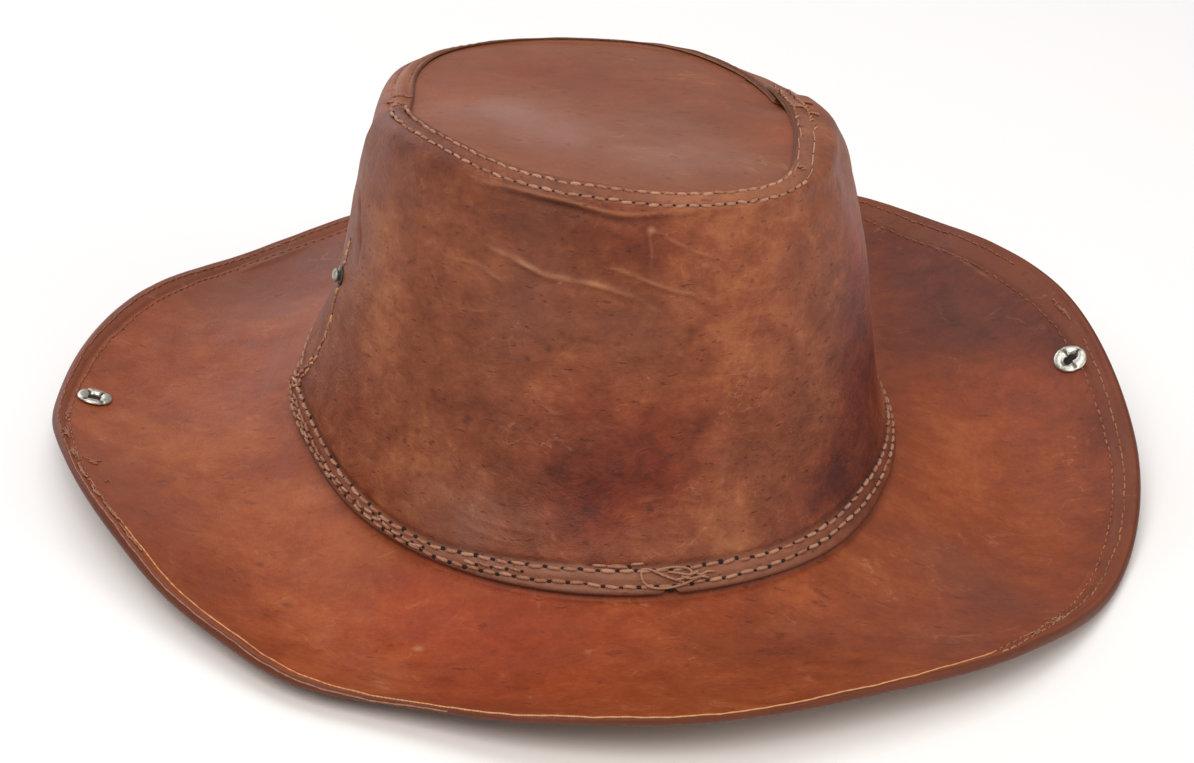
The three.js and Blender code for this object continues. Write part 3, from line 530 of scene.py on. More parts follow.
def crown_point(angle, path):
    """Outer face of the crown: path runs from 0 at the bottom edge to 1 at the edge on top."""
    left, right, front, back, power = (
        crown_value(column, path) for column in ("left", "right", "front", "back", "power"))
    c = np.cos(angle)
    s = np.sin(angle)
    bulge = (np.abs(c) ** power + np.abs(s) ** power) ** (-1 / power)
    reach_x = (left + right) / 2 * c * bulge
    reach_y = (front + back) / 2 * s * bulge
    at_rim = np.clip((path - SHOULDER) / (1 - SHOULDER), 0, 1)
    at_shoulder = ease(WALL_TOP, SHOULDER, path) * (1 - at_rim)
    at_foot = 1 - ease(0, FLARE, path)
    further = (edge_value("rim", angle) * at_rim + edge_value("shoulder", angle) * at_shoulder
               + edge_value("foot", angle) * at_foot)
    stretch = 1 + further / np.hypot(reach_x, reach_y)
    x = (right - left) / 2 + reach_x * stretch
    y = (back - front) / 2 + reach_y * stretch
    base = base_height(angle)
    z = base + (top_height(x, y) - base) * crown_value("climb", path)
    z = z - edge_value("droop", angle) * at_shoulder
    return np.stack(np.broadcast_arrays(x, y, z), axis=-1)


def crown_normal(angle, path):
    step = 0.002
    around = crown_point(angle + step, path) - crown_point(angle - step, path)
    up = crown_point(angle, np.minimum(path + step, 1)) - crown_point(angle, np.maximum(path - step, 0))
    return unit(np.cross(around, up))


def behind_crown(angle, path, depth):
    return crown_point(angle, path) - crown_normal(angle, path) * np.asarray(depth)[..., None]


def seam_angle(side, path):
    return np.radians(crown_value(side, path))


def angle_behind_seam(side, angle, path):
    """Angle behind a side seam in degrees, positive towards the back of the hat."""
    turn = seam_angle(side, path) - angle if side == "seam_left" else angle - seam_angle(side, path)
    return np.degrees((turn + math.pi) % TAU - math.pi)


def underlap(angle, path):
    """Depth of a layer under the front panel's laps: deepest at the seams, none away from them."""
    shares = []
    for side in ("seam_left", "seam_right"):
        behind = angle_behind_seam(side, angle, path)
        from_back = 1 - ease(*UNDERLAP_BACK, behind)
        from_front = 1 - ease(*UNDERLAP_FRONT, -behind)
        shares.append(np.where(behind >= 0, from_back, from_front))
    return (LEATHER + GAP) * np.maximum(*shares)


def brim_corner(angle):
    """Foot of the brim's turned-up margin, where the bend turns outwards."""
    downhill = unit(crown_point(angle, 0 * angle) - crown_point(angle, 0 * angle + 0.01))
    depth = LEATHER + GAP + underlap(angle, 0 * angle)
    return behind_crown(angle, 0 * angle, depth) + downhill * BEND_DROP


def brim_edge(angle):
    reach = brim_value("reach", angle)
    height = brim_value("height", angle) + HEM_THICKNESS / 2
    for at, width, out, up in EDGE_WAVES:
        share = bell(degrees_from(at, np.degrees(angle)), width)
        reach = reach + out * share
        height = height + up * share
    return np.stack([reach * np.cos(angle), reach * np.sin(angle), height], axis=-1)


def brim_width(angle):
    return np.linalg.norm(brim_edge(angle) - brim_corner(angle), axis=-1)


def brim_top(angle, out):
    """Upper face of the brim: out runs from 0 at the bend to 1 at the edge."""
    corner = brim_corner(angle)
    point = corner + (brim_edge(angle) - corner) * out[..., None]
    point[..., 2] -= brim_value("sag", angle) * 4 * out * (1 - out)
    return point


def brim_normal(angle, out):
    step = 0.01
    around = brim_top(angle + step, out) - brim_top(angle - step, out)
    outward = brim_top(angle, out + step) - brim_top(angle, out - step)
    return unit(np.cross(outward, around))


def waves(points, lengths, seed):
    """Smooth uneven field between about -1 and 1: a sum of sine waves of the given lengths in mm."""
    dice = np.random.default_rng(seed)
    total = np.zeros(points.shape[:-1])
    for length in lengths:
        direction = unit(dice.normal(size=3))
        total += np.sin(points @ direction * TAU / length + dice.uniform(0, TAU))
    return total / math.sqrt(len(lengths))


def beside_line(points, line):
    """Distance from each point to a chain of straight pieces, and how far along the chain its foot lies."""
    nearest = np.full(points.shape[:-1], np.inf)
    along_share = np.zeros(points.shape[:-1])
    for i, (start, end) in enumerate(zip(line, line[1:])):
        along = end - start
        share = np.clip((points - start) @ along / (along @ along), 0, 1)
        distance = np.linalg.norm(points - start - share[..., None] * along, axis=-1)
        closer = distance < nearest
        nearest = np.where(closer, distance, nearest)
        along_share = np.where(closer, (i + share) / (len(line) - 1), along_share)
    return nearest, along_share


def smooth_line(points, steps):
    """Rounded chain through control points, by Catmull-Rom."""
    p = np.array(points, dtype=float)
    p = np.concatenate([[2 * p[0] - p[1]], p, [2 * p[-1] - p[-2]]])
    line = []
    for i in range(1, len(p) - 2):
        for t in np.arange(steps) / steps:
            line.append(p[i] + 0.5 * t * (p[i + 1] - p[i - 1] + t * (
                2 * p[i - 1] - 5 * p[i] + 4 * p[i + 1] - p[i + 2]
                + t * (3 * (p[i] - p[i + 1]) + p[i + 2] - p[i - 1]))))
    line.append(p[-2])
    return np.array(line)


def bell(distance, width):
    return np.exp(-(distance / width) ** 2)


def degrees_from(at, degrees):
    """How far angles lie from a given one, from -180 to 180 degrees."""
    return (degrees - at + 180) % 360 - 180


def by_angle(table, angle):
    """Value at an angle in radians, from a table of angles in degrees and values."""
    keys, values = np.array(table)[:, :2].T
    return np.interp(np.degrees(angle) % 360, keys, values)


def top_row_path(angle, inset):
    """Path on the crown at a distance in mm from the edge that is turned in on top."""
    rim = crown_point(angle, 0 * angle + 1)
    shoulder = crown_point(angle, 0 * angle + SHOULDER)
    flat = np.linalg.norm(rim - shoulder, axis=-1)
    below = SHOULDER - (inset - flat) / CROWN_LENGTH
    return np.where(inset < flat, 1 - inset / flat * (1 - SHOULDER), below)


def wrinkle(points, line, width, place=crown_point):
    """Share of a wrinkle at points: 1 on its ridge, less than 0 in the shallow troughs beside it."""
    line = smooth_line(line, 5)
    chain = place(np.radians(line[:, 0]), line[:, 1])
    distance, along = beside_line(points, chain)
    share = 1.25 * bell(distance, width) - 0.35 * bell(distance, 2.4 * width)
    ends = np.sqrt(np.clip(np.sin(along * math.pi), 0, 1))
    uneven = 0.75 + 0.35 * waves(points, (7, 11, 5), 31)
    return share * ends * uneven


def lip(angle, path):
    """Relief in mm of the fold that hangs under the top rows, and its painted highlight on top and painted
    shade below.
    """
    turn = np.degrees(angle) % 360
    height = np.interp(turn, LIP[:, 0], LIP[:, 2], left=0, right=0)
    above = (path - np.interp(turn, LIP[:, 0], LIP[:, 1])) * CROWN_LENGTH
    above = above + 0.35 * np.sin(angle * 11) + 0.15 * np.sin(angle * 23)
    rise = np.where(above > 0, bell(above, 3.6), 1 - ease(0, 1.3, -above))
    relief = height * 0.85 * (rise - 0.4 * bell(above + 2.2, 1.4))
    # Painted highlight on the fold's top and painted shade under it
    pale = height * (0.75 * bell(above - 0.4, 0.6) - 0.95 * bell(above + 1.3, 0.9))
    return relief, pale


def crown_swell(angle, path):
    """Height in mm of the crown's dents and swells, which both faces of the leather follow."""
    points = crown_point(angle, path)
    free = ease(CREASE, CREASE + 0.10, path) * (1 - ease(0.86, 0.93, path))
    swell = np.zeros(points.shape[:-1])
    for at, up, radius, height in CROWN_DENTS:
        swell += height * bell(np.linalg.norm(points - crown_spot(at, up), axis=-1), radius) * free
    return swell


def crown_relief(angle, path):
    """Height in mm of the crown's folds, dents and grooves over its plain face."""
    points = crown_point(angle, path)
    free = ease(CREASE, CREASE + 0.10, path) * (1 - ease(0.84, 0.90, path))
    relief = 0.35 * waves(points, (55, 38, 70, 29), 3) * free
    relief += 0.10 * waves(points, (14, 11, 17, 9, 13), 4) * ease(CREASE, CREASE + 0.04, path)
    relief += crown_swell(angle, path)
    for line, width, height, _ in CROWN_WRINKLES:
        relief += height * wrinkle(points, line, width)
    mm = path * CROWN_LENGTH
    high = by_angle(FLANGE_ROWS["high"], angle) * CROWN_LENGTH
    relief -= 0.55 * bell(mm - high - 1.3, 0.8)
    relief += 0.25 * bell(mm - high + 1.8, 1.2)
    for row in FLANGE_ROWS.values():
        relief -= 0.30 * bell(mm - by_angle(row, angle) * CROWN_LENGTH, 0.8)
    for inset in TOP_ROWS:
        relief -= 0.32 * bell(mm - top_row_path(angle, inset) * CROWN_LENGTH, 0.7)
    return relief + lip(angle, path)[0]


def crown_face(angle, path, depth=0.0):
    """Point of the crown's outer face with its relief, less a depth."""
    height = crown_relief(angle, path) - depth
    return crown_point(angle, path) + crown_normal(angle, path) * height[..., None]


def brim_relief(angle, out):
    """Height in mm of the brim's unevenness, its hem and its grooves over its plain upper face."""
    points = brim_top(angle, out)
    free = ease(0.03, 0.25, out)
    relief = 0.7 * waves(points, (90, 64, 48, 120), 11) * free
    relief += 0.10 * waves(points, (15, 12, 18, 10, 14), 12) * ease(0.03, 0.08, out)
    to_edge = (1 - out) * brim_width(angle)
    inner = by_angle(HEM_ROWS["inner"], angle)
    relief += 0.4 * (1 - ease(inner - 0.5, inner + 1.0, to_edge)) * ease(-0.5, 1.5, inner)
    for row in HEM_ROWS.values():
        relief -= 0.35 * bell(to_edge - by_angle(row, angle), 0.8)
    relief -= 1.6 * bell(np.degrees(angle) - KINK_ANGLE, 4.5) * ease(0.5, 1.0, out)
    return relief


def make_mesh(name, points, faces, smooth, attributes, material):
    """Mesh object from points in mm, its faces, a smooth flag a face and values a vertex."""
    mesh = bpy.data.meshes.new(name)
    mesh.from_pydata(((points - MIDDLE) * MM).tolist(), [], faces)
    mesh.polygons.foreach_set("use_smooth", smooth)
    for key, values in attributes.items():
        layer = mesh.attributes.new(key, "FLOAT", "POINT")
        layer.data.foreach_set("value", np.asarray(values, dtype=np.float32))
    mesh.materials.append(material)
    mesh.validate()
    mesh.update()
    piece = bpy.data.objects.new(name, mesh)
    bpy.context.scene.collection.objects.link(piece)
    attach(piece, "root")
    return piece


def leather_mesh(name, points, faces, smooth, fine_count, values, material):
    """Leather piece. values may stop at the end of the fine face, and what they leave out is 0."""
    attributes = {}
    for key in ("tone", "violet_and_sheen", "pale", "worn", "hem"):
        given = np.ravel(values.get(key, ()))
        attributes[key] = np.concatenate([given, np.zeros(len(points) - len(given))])
    attributes["flesh"] = np.arange(len(points)) >= fine_count
    return make_mesh(name, points, faces, smooth, attributes, material)


def layers(fine, coarse):
    """Points of a fine grid and of a coarse one behind it, and the grids of their numbers."""
    points = np.concatenate([fine.reshape(-1, 3), coarse.reshape(-1, 3)])
    ids = np.arange(len(points))
    first = fine.size // 3
    return points, ids[:first].reshape(fine.shape[:2]), ids[first:].reshape(coarse.shape[:2])


def grid_faces(ids, closed=False, flip=False):
    """Four-sided faces of a grid of point numbers, row by row. closed: the last row joins the first."""
    faces = []
    ids = ids.tolist()
    for row, low in enumerate(ids if closed else ids[:-1]):
        high = ids[(row + 1) % len(ids)]
        for i in range(len(low) - 1):
            face = (low[i], high[i], high[i + 1], low[i + 1])
            faces.append(face[::-1] if flip else face)
    return faces


def rim_faces(fine, coarse, flip, closed=False):
    """Faces that join a fine line of points to a coarse one, RATIO fine steps to each coarse step."""
    if closed:
        fine = np.append(fine, fine[0])
        coarse = np.append(coarse, coarse[0])
    faces = []
    for i in range(len(coarse) - 1):
        run = list(fine[i * RATIO:(i + 1) * RATIO + 1])
        face = (*run, coarse[i + 1], coarse[i])
        faces.append(face[::-1] if flip else face)
    return faces


def lines_with_edges(length, steps):
    """Shares from 0 to 1 with fine lines at both ends, where a cut edge is rounded."""
    fine = np.array([0, 0.04, 0.15, 0.35]) / length
    next_line = fine[-1] + 0.25 / length
    inner = np.linspace(next_line, 1 - next_line, steps - 2 * len(fine) + 1)
    return np.concatenate([fine, inner, 1 - fine[::-1]])


def round_drop(distance):
    """How far the outer face falls near a cut edge, as a quarter circle."""
    near = EDGE_ROUND - np.minimum(distance, EDGE_ROUND)
    return EDGE_ROUND - np.sqrt(EDGE_ROUND**2 - near**2)


def crown_spot(at, up):
    """Point of the crown's plain face at an angle in degrees and a path."""
    return crown_point(np.radians(at), np.array(up))


def brim_spot(at, out):
    """Point of the brim's plain upper face at an angle in degrees and a share of the way out."""
    return brim_top(np.radians(at), np.array(out))


def tip_spot(x, y):
    return np.array([x, y, TOP_HEIGHT - LEATHER - GAP])


def tones(points, table, spot):
    """Tone and share of violet and painted sheen at points, from a table of soft round areas."""
    tone = np.zeros(points.shape[:-1])
    violet_and_sheen = np.zeros(points.shape[:-1])
    for at, out, radius, lighter, purple_and_sheen in table:
        share = bell(np.linalg.norm(points - spot(at, out), axis=-1), radius * 1.15)
        tone += lighter * share
        violet_and_sheen += purple_and_sheen * share
    return tone, np.clip(violet_and_sheen, -1, 1)


def marks(points, table, spot, axes=3):
    """How pale or, below 0, dark small round marks are at points. With 2 axes they are seen from above."""
    pale = np.zeros(points.shape[:-1])
    for at, out, radius, light in table:
        pale += light * bell(np.linalg.norm((points - spot(at, out))[..., :axes], axis=-1), radius)
    return pale


def pared_back(angle, path):
    """How much thinner the back panel is pared towards the edge that is turned in on top."""
    return by_angle(BACK_PARING, angle) * (1 - ease(0.3, 3.6, (1 - path) * CROWN_LENGTH))


def pared_front(angle, path, ends):
    """How much thinner the front panel is pared at its top corners, where it laps the back one."""
    return 1.25 * (1 - ease(0, 24, ends)) * ease(0.82, 0.93, path)


def panel_looks(angle, path, ends, levels, thinner):
    """Values for the material of a crown panel's grain side."""
    flat = crown_point(angle, path)
    tone, violet_and_sheen = tones(flat, CROWN_TONES, crown_spot)
    # Marks, and the painted highlight and painted shade of the fold under the top rows
    pale = marks(flat, CROWN_MARKS, crown_spot) + lip(angle, path)[1]
    for line, width, _, light in CROWN_WRINKLES:
        pale += light * wrinkle(flat, line, width * 0.9)
    for at in PARED_SPOTS:
        pale += 0.8 * (thinner > 0.5) * bell(np.degrees(angle) - at, 9)
    high = by_angle(FLANGE_ROWS["high"], angle)
    # Painted shade in the crease just above the flange's high row
    pale -= 0.55 * bell((path - high) * CROWN_LENGTH - 1.3, 0.7)
    # Darker line along the bottom cut edge: partly the dark cut edge, partly painted shade of the gap under
    # it
    pale -= 0.5 * bell(levels - 0.2, 0.35) * (path < 0.5)
    inset = (top_row_path(angle, TOP_ROWS[1] + 0.8) - path) * CROWN_LENGTH
    top_share, flange_share = (by_angle([(row[0], row[i]) for row in CROWN_HEM], angle) for i in (1, 2))
    hem = (1 - ease(-0.8, 0.8, inset)) * top_share + (1 - ease(high, high + 0.012, path)) * flange_share
    worn = 1 - ease(0.3, 1.2, np.minimum(ends, levels))
    return {"tone": tone, "violet_and_sheen": violet_and_sheen, "pale": pale, "worn": worn, "hem": hem}


def crown_panel(name, start_angle, end_angle, depth_at, notch, pared):
    """One panel of the crown wall, its grain side fine and its flesh side coarse, replacing its node."""
    around = lines_with_edges(PANEL_LENGTH, PANEL_ROUND_STEPS)
    up = lines_with_edges(CROWN_LENGTH, PANEL_UP_STEPS)
    share, path = np.meshgrid(around, up, indexing="ij")
    angle = start_angle(path) + (end_angle(path) - start_angle(path)) * share
    path = path + notch(angle) * (1 - path) ** 8
    depth = depth_at(angle, path)
    ends = np.minimum(share, 1 - share) * PANEL_LENGTH
    levels = np.minimum(path, 1 - path) * CROWN_LENGTH
    thinner = pared(angle, path, ends)
    outer = crown_face(angle, path, depth + thinner + np.maximum(round_drop(ends), round_drop(levels)))
    coarse = (slice(None, None, RATIO), slice(None, None, RATIO))
    inner_depth = depth[coarse] + LEATHER - crown_swell(angle[coarse], path[coarse])
    inner = behind_crown(angle[coarse], path[coarse], inner_depth)
    points, outer_ids, inner_ids = layers(outer, inner)
    faces = grid_faces(outer_ids) + grid_faces(inner_ids, flip=True)
    rim = rim_faces(outer_ids[:, 0], inner_ids[:, 0], False)
    rim += rim_faces(outer_ids[:, -1], inner_ids[:, -1], True)
    rim += rim_faces(outer_ids[0], inner_ids[0], True)
    rim += rim_faces(outer_ids[-1], inner_ids[-1], False)
    smooth = [True] * len(faces) + [False] * len(rim)
    values = panel_looks(angle, path, ends, levels, thinner)
    piece = leather_mesh(name + "_leather", points, faces + rim, smooth, outer_ids.size, values,
                         crown_leather)
    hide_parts(name)


def tip_relief(points):
    return 0.30 * waves(points, (60, 44, 80), 21) + 0.06 * waves(points, (13, 10, 16), 22)


def crown_tip():
    """Flat oval on top, its edge under the panels' turned-in tops."""
    cover = LEATHER + GAP
    centre = crown_spot([0, 90, 180, 270], [1, 1, 1, 1]).mean(axis=0)
    shares = np.concatenate([np.linspace(0.02, 1, TIP_OUT_STEPS - 7), np.linspace(1.01, TIP_REACH, 8)])
    angle, share = np.meshgrid(np.arange(TIP_ROUND_STEPS) / TIP_ROUND_STEPS * TAU, shares, indexing="ij")
    at_rim = np.ones(angle.shape)
    rim = behind_crown(angle, at_rim, at_rim * cover)
    flat = centre + (rim - centre) * np.minimum(share, 1)[..., None]
    dip = underlap(angle, at_rim) * ease(0.7, 1, share)
    flat[..., 2] = top_height(flat[..., 0], flat[..., 1]) - cover - dip
    flat[..., 2] += tip_relief(flat) * (1 - ease(0.9, 1.0, share))
    path = np.minimum(1 - (share - 1) / (TIP_REACH - 1) * (1 - SHOULDER), 1)
    hidden = behind_crown(angle, path, cover + underlap(angle, path))
    top = np.where((share > 1)[..., None], hidden, flat)
    bottom = top[::RATIO, ::-RATIO][:, ::-1] - np.array([0, 0, LEATHER])
    points, top_ids, low_ids = layers(top, bottom)
    faces = grid_faces(top_ids, closed=True, flip=True) + grid_faces(low_ids, closed=True)
    faces.append(tuple(top_ids[:, 0]))
    faces.append(tuple(low_ids[::-1, 0]))
    edge = rim_faces(top_ids[:, -1], low_ids[:, -1], True, closed=True)
    smooth = [True] * len(faces) + [False] * len(edge)
    tone, violet_and_sheen = tones(points, TIP_TONES, tip_spot)
    piece = leather_mesh("crown_tip_leather", points, faces + edge, smooth, top_ids.size,
                         {"tone": tone, "violet_and_sheen": violet_and_sheen}, tip_leather)
    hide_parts("crown_tip")


def brim_lines(angle):
    """Plain upper lines of the brim's sections, how far out their points are, width and hem thickness."""
    path = np.zeros(len(angle))
    behind = LEATHER + GAP + underlap(angle, path)
    corner = brim_corner(angle)
    uphill = unit(behind_crown(angle, path, behind) - corner)
    outward = unit(brim_top(angle, path + 0.03) - corner)
    bend = np.arccos(np.clip((uphill * -outward).sum(-1), -1, 1))
    setback = (BEND_RADIUS * np.tan(bend / 2))[:, None]
    start = corner + uphill * setback
    end = corner + outward * setback
    margin = MARGIN / CROWN_LENGTH
    lines = [behind_crown(angle, path + margin * share, behind) for share in (1, 0.75, 0.5, 0.25)]
    for t in np.linspace(0, 1, 6):
        lines.append(start * (1 - t) ** 2 + 2 * corner * t * (1 - t) + end * t**2)
    width = brim_width(angle)
    hem_thickness = HEM_THICKNESS * by_angle(HEM_THIN, angle)
    hem_start = 1 - (HEM_WIDTH + 2) / width
    edge_start = 1 - hem_thickness / 2 / width
    first = setback[:, 0] / width + 0.01
    outs = [path] * len(lines)
    outs += [first + (hem_start - first) * i / SPREAD_STEPS for i in range(SPREAD_STEPS)]
    outs += [hem_start + (edge_start - hem_start) * i / HEM_STEPS for i in range(HEM_STEPS + 1)]
    lines += [brim_top(angle, out) for out in outs[len(lines):]]
    return np.stack(lines, axis=1), np.stack(outs, axis=1), width, hem_thickness[:, None]


def brim_section(angle):
    """Fine upper face of the brim with its rolled edge, how far out its points are, and its lower face."""
    bare, out, width, hem_thickness = brim_lines(angle)
    roll = hem_thickness / 2
    along = np.gradient(bare, axis=1)
    across = np.stack([-np.sin(angle), np.cos(angle), 0 * angle], axis=-1)[:, None]
    down = unit(np.cross(np.broadcast_to(across, along.shape), along))
    relief = np.where(out > 0, brim_relief(np.broadcast_to(angle[:, None], out.shape), out), 0)
    top = bare - down * relief[..., None]
    to_edge = (1 - out) * width[:, None]
    thickness = np.where((out > 0) & (to_edge < HEM_WIDTH), hem_thickness, BRIM_LEATHER)
    bottom = bare + down * thickness[..., None]
    centre = bare[:, -1] + down[:, -1] * roll
    lift = np.maximum(-bottom[..., 2], 0)
    top[..., 2] += lift
    bottom[..., 2] = np.maximum(bottom[..., 2], 0)
    centre[:, 2] += lift[:, -1]
    tangent = unit(along[:, -1])
    rise = -relief[:, -1, None]
    rolled = []
    for turn in np.linspace(0, math.pi, ROLL_STEPS + 1)[1:]:
        height = roll - rise if turn < math.pi / 2 else roll
        point = centre - down[:, -1] * height * math.cos(turn) + tangent * roll * math.sin(turn)
        point[:, 2] = np.maximum(point[:, 2], 0)
        rolled.append(point)
    fine = np.concatenate([top, np.stack(rolled, axis=1)], axis=1)
    out = np.concatenate([out, np.ones((len(angle), ROLL_STEPS))], axis=1)
    return fine, out, bottom


def brim():
    """The brim, fine above with its hem rolled over the edge and coarse below, replacing its node.

    Returns the place function of its fine face, for threads to lie on.
    """
    angle = np.arange(BRIM_ROUND_STEPS) / BRIM_ROUND_STEPS * TAU
    fine, out, bottom = brim_section(angle)
    edge_column = fine.shape[1] - 1 - ROLL_STEPS
    low = bottom[::RATIO, :-1][:, ::-1]
    last = low.shape[1]
    keep = np.unique(np.concatenate([np.arange(0, HEM_STEPS + 1, 4), np.arange(HEM_STEPS + 1, last, 6),
                                     np.arange(last - 10, last, 2), [last - 1]]))
    points, top_ids, low_ids = layers(fine, low[:, keep])
    faces = grid_faces(top_ids, closed=True, flip=True) + grid_faces(low_ids, closed=True, flip=True)
    smooth = [True] * len(faces)
    for at_edge, side in ((True, -1), (False, 0)):
        ring = rim_faces(top_ids[:, side], low_ids[:, -1 - side], at_edge, closed=True)
        faces += ring
        smooth += [at_edge] * len(ring)
    tone, violet_and_sheen = tones(points, BRIM_TONES, brim_spot)
    pale = marks(points, BRIM_MARKS, brim_spot, axes=2)
    for line, breadth, light in BRIM_SCUFFS:
        pale += light * wrinkle(points, line, breadth, brim_top)
    to_edge = (1 - out) * brim_width(angle)[:, None]
    inner = by_angle(HEM_ROWS["inner"], angle)[:, None]
    worn = np.broadcast_to(np.arange(fine.shape[1]) > edge_column + 1, out.shape)
    hem = 1 - ease(inner, inner + 0.8, to_edge)
    values = {"tone": tone, "violet_and_sheen": violet_and_sheen, "pale": pale, "worn": worn, "hem": hem}
    piece = leather_mesh("brim_leather", points, faces, smooth, top_ids.size, values, brim_leather)
    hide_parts("brim")
    return section_surface(fine, edge_column)


def section_surface(sections, edge_column):
    """Function for points and normals at angles and distances in from the column of the edge."""
    steps = np.linalg.norm(np.diff(sections, axis=1), axis=-1)
    lengths = np.concatenate([np.zeros((len(sections), 1)), np.cumsum(steps, axis=1)], axis=1)
    lengths = lengths - lengths[:, edge_column, None]

    def surface(angle, to_edge):
        turn = angle / TAU % 1 * len(sections)
        low = np.floor(turn).astype(int) % len(sections)
        share = (turn - np.floor(turn))[:, None]

        def point_at(distances):
            ends = []
            for step in (0, 1):
                ends.append(np.array([
                    [np.interp(-distance, lengths[i], sections[i, :, axis]) for axis in range(3)]
                    for i, distance in zip((low + step) % len(sections), distances)]))
            return ends[0] * (1 - share) + ends[1] * share

        point = point_at(to_edge)
        outward = point_at(to_edge - 0.4) - point_at(to_edge + 0.4)
        return point, unit(np.cross(outward, np.gradient(point, axis=0)))

    return surface


def tube(line, radii, sides, frame_up):
    """Closed tube along a line: its points and faces. radii is one number for each point."""
    along = unit(np.gradient(line, axis=0))
    side = unit(np.cross(along, frame_up))
    up = np.cross(along, side)
    turn = np.arange(sides) / sides * TAU
    ring = np.cos(turn)[None, :, None] * side[:, None] + np.sin(turn)[None, :, None] * up[:, None]
    points = (line[:, None] + ring * radii[:, None, None]).reshape(-1, 3)
    faces = []
    for i in range(len(line) - 1):
        for j in range(sides):
            k = (j + 1) % sides
            faces.append((i * sides + j, i * sides + k, (i + 1) * sides + k, (i + 1) * sides + j))
    faces.append(tuple(range(sides))[::-1])
    last = (len(line) - 1) * sides
    faces.append(tuple(range(last, last + sides)))
    return points, faces


def hole(centre, normal, along, radius):
    """Painted shade of a pit that a needle left: a dark shallow disc that stands just over the leather."""
    across = np.cross(normal, along)
    turn = np.arange(8) / 8 * TAU
    ring = np.cos(turn)[:, None] * along * 1.25 + np.sin(turn)[:, None] * across
    top = centre + ring * radius * 0.75 + normal * 0.10
    low = centre + ring * radius - normal * 0.25
    points = np.concatenate([top, low])
    faces = [tuple(range(8)), tuple(range(15, 7, -1))]
    faces += [(j, 8 + j, 8 + (j + 1) % 8, (j + 1) % 8) for j in range(8)]
    return points, faces


class Threads:
    """Threads, or the dark discs of painted shade in the holes that they go through, gathered into one
    piece.
    """

    def __init__(self, name):
        self.name = name
        self.points = []
        self.faces = []
        self.shades = []
        self.count = 0

    def add(self, points, faces, shade):
        self.points.append(points)
        self.faces += [tuple(i + self.count for i in face) for face in faces]
        self.shades.append(np.full(len(points), shade))
        self.count += len(points)

    def finish(self, material):
        make_mesh(self.name, np.concatenate(self.points), self.faces, [True] * len(self.faces),
                  {"shade": np.concatenate(self.shades)}, material)


def along_line(surface, first, second):
    """Place function and length of a line that is drawn on a face by two parameters at many points."""
    points, normals = surface(first, second)
    lengths = np.concatenate([[0], np.cumsum(np.linalg.norm(np.diff(points, axis=0), axis=-1))])

    def place(at):
        spots = np.stack([np.interp(at, lengths, points[:, i]) for i in range(3)], axis=-1)
        ups = unit(np.stack([np.interp(at, lengths, normals[:, i]) for i in range(3)], axis=-1))
        return spots, ups

    return place, lengths[-1]


def stitch_row(threads, holes, line, pitch, thickness, fill, unrest, lift, hole_size, shades):
    """Row of stitches. line is a face and its two parameters at many points, the rest as in STITCHES."""
    place, length = along_line(*line)
    count = int(length / pitch)
    for i in range(count):
        start = (i + (1 - fill) / 2 + rng.normal() * 0.03) * length / count
        end = (i + (1 + fill) / 2 + rng.normal() * 0.03) * length / count
        at = np.linspace(start - 0.15, end + 0.15, 8)
        points, normals = place(at)
        along = unit(points[-1] - points[0])
        across = np.cross(normals[len(at) // 2], along)
        t = np.linspace(0, 1, len(at))
        rise = lift - (2 * t - 1) ** 6 * (lift + 0.75)
        shift = rng.normal() * unrest + (t - 0.5) * rng.normal() * unrest * 2
        middle = points + normals * (rise + 0.12)[:, None] + across * shift[:, None]
        radii = thickness * (1 - 0.35 * np.abs(2 * t - 1) ** 3) * (1 + rng.normal() * 0.06)
        threads.add(*tube(middle, radii, 8, normals[len(at) // 2]), rng.uniform(*shades))
        # Dark disc of painted shade in the needle hole after the stitch
        spot, up = place(np.array([end + (1 - fill) / 2 * length / count]))
        radius = thickness * hole_size * rng.uniform(0.85, 1.15)
        holes.add(*hole(spot[0] + across * shift[-1], up[0], along, radius), 0)


def tangle(threads, surface, first, second, along, across, count, per_mm, thickness, shades):
    """Ends of thread heaped on a face, round the place that two parameters give, along and across in mm."""
    for _ in range(count):
        around = rng.normal(size=(6, 2)) * (along * 0.25, across * 0.6)
        around[:, 0] += np.linspace(-along, along, 6) * rng.uniform(0.3, 0.7)
        line = smooth_line(np.column_stack([around * per_mm, rng.uniform(0.2, 1.0, 6)]), 6)
        points, normals = surface(first + line[:, 0], second + line[:, 1])
        points = points + unit(normals.mean(axis=0)) * (line[:, 2] * thickness * 2)[:, None]
        threads.add(*tube(points, np.full(len(points), thickness), 6, normals[0]), rng.uniform(*shades))


def long_thread(threads, line, thickness, shade):
    """One thread that lies along a line on a face with small waves."""
    place, length = along_line(*line)
    at = np.linspace(0, length, int(length / 0.8))
    points, normals = place(at)
    across = unit(np.cross(normals, np.gradient(points, axis=0)))
    shift = 0.05 * np.sin(at * 0.9) + 0.08 * np.sin(at * 0.31 + 1)
    middle = points + normals * (0.4 * thickness) + across * shift[:, None]
    threads.add(*tube(middle, thickness * (1 + 0.15 * np.sin(at * 1.7)), 6, normals[0]), shade)


def no_depth(angle, path):
    """Depth of the front panel, which lies on the crown's plain face."""
    return 0 * angle


def back_depth(angle, path):
    """Depth of the back panel's outer face under the crown's plain face."""
    return underlap(angle, path) + pared_back(angle, path)


def visible_depth(angle, path):
    """Depth of the panel that shows: the back one behind both laps, and the front one elsewhere."""
    behind = np.minimum(*(angle_behind_seam(side, angle, path) for side in ("seam_left", "seam_right")))
    return np.where(behind > HALF_LAP, back_depth(angle, path), 0)


def crown_surface(depth_at):
    """Function for points and normals of the crown's outer face at a depth."""
    def surface(angle, path):
        return crown_face(angle, path, depth_at(angle, path)), crown_normal(angle, path)
    return surface


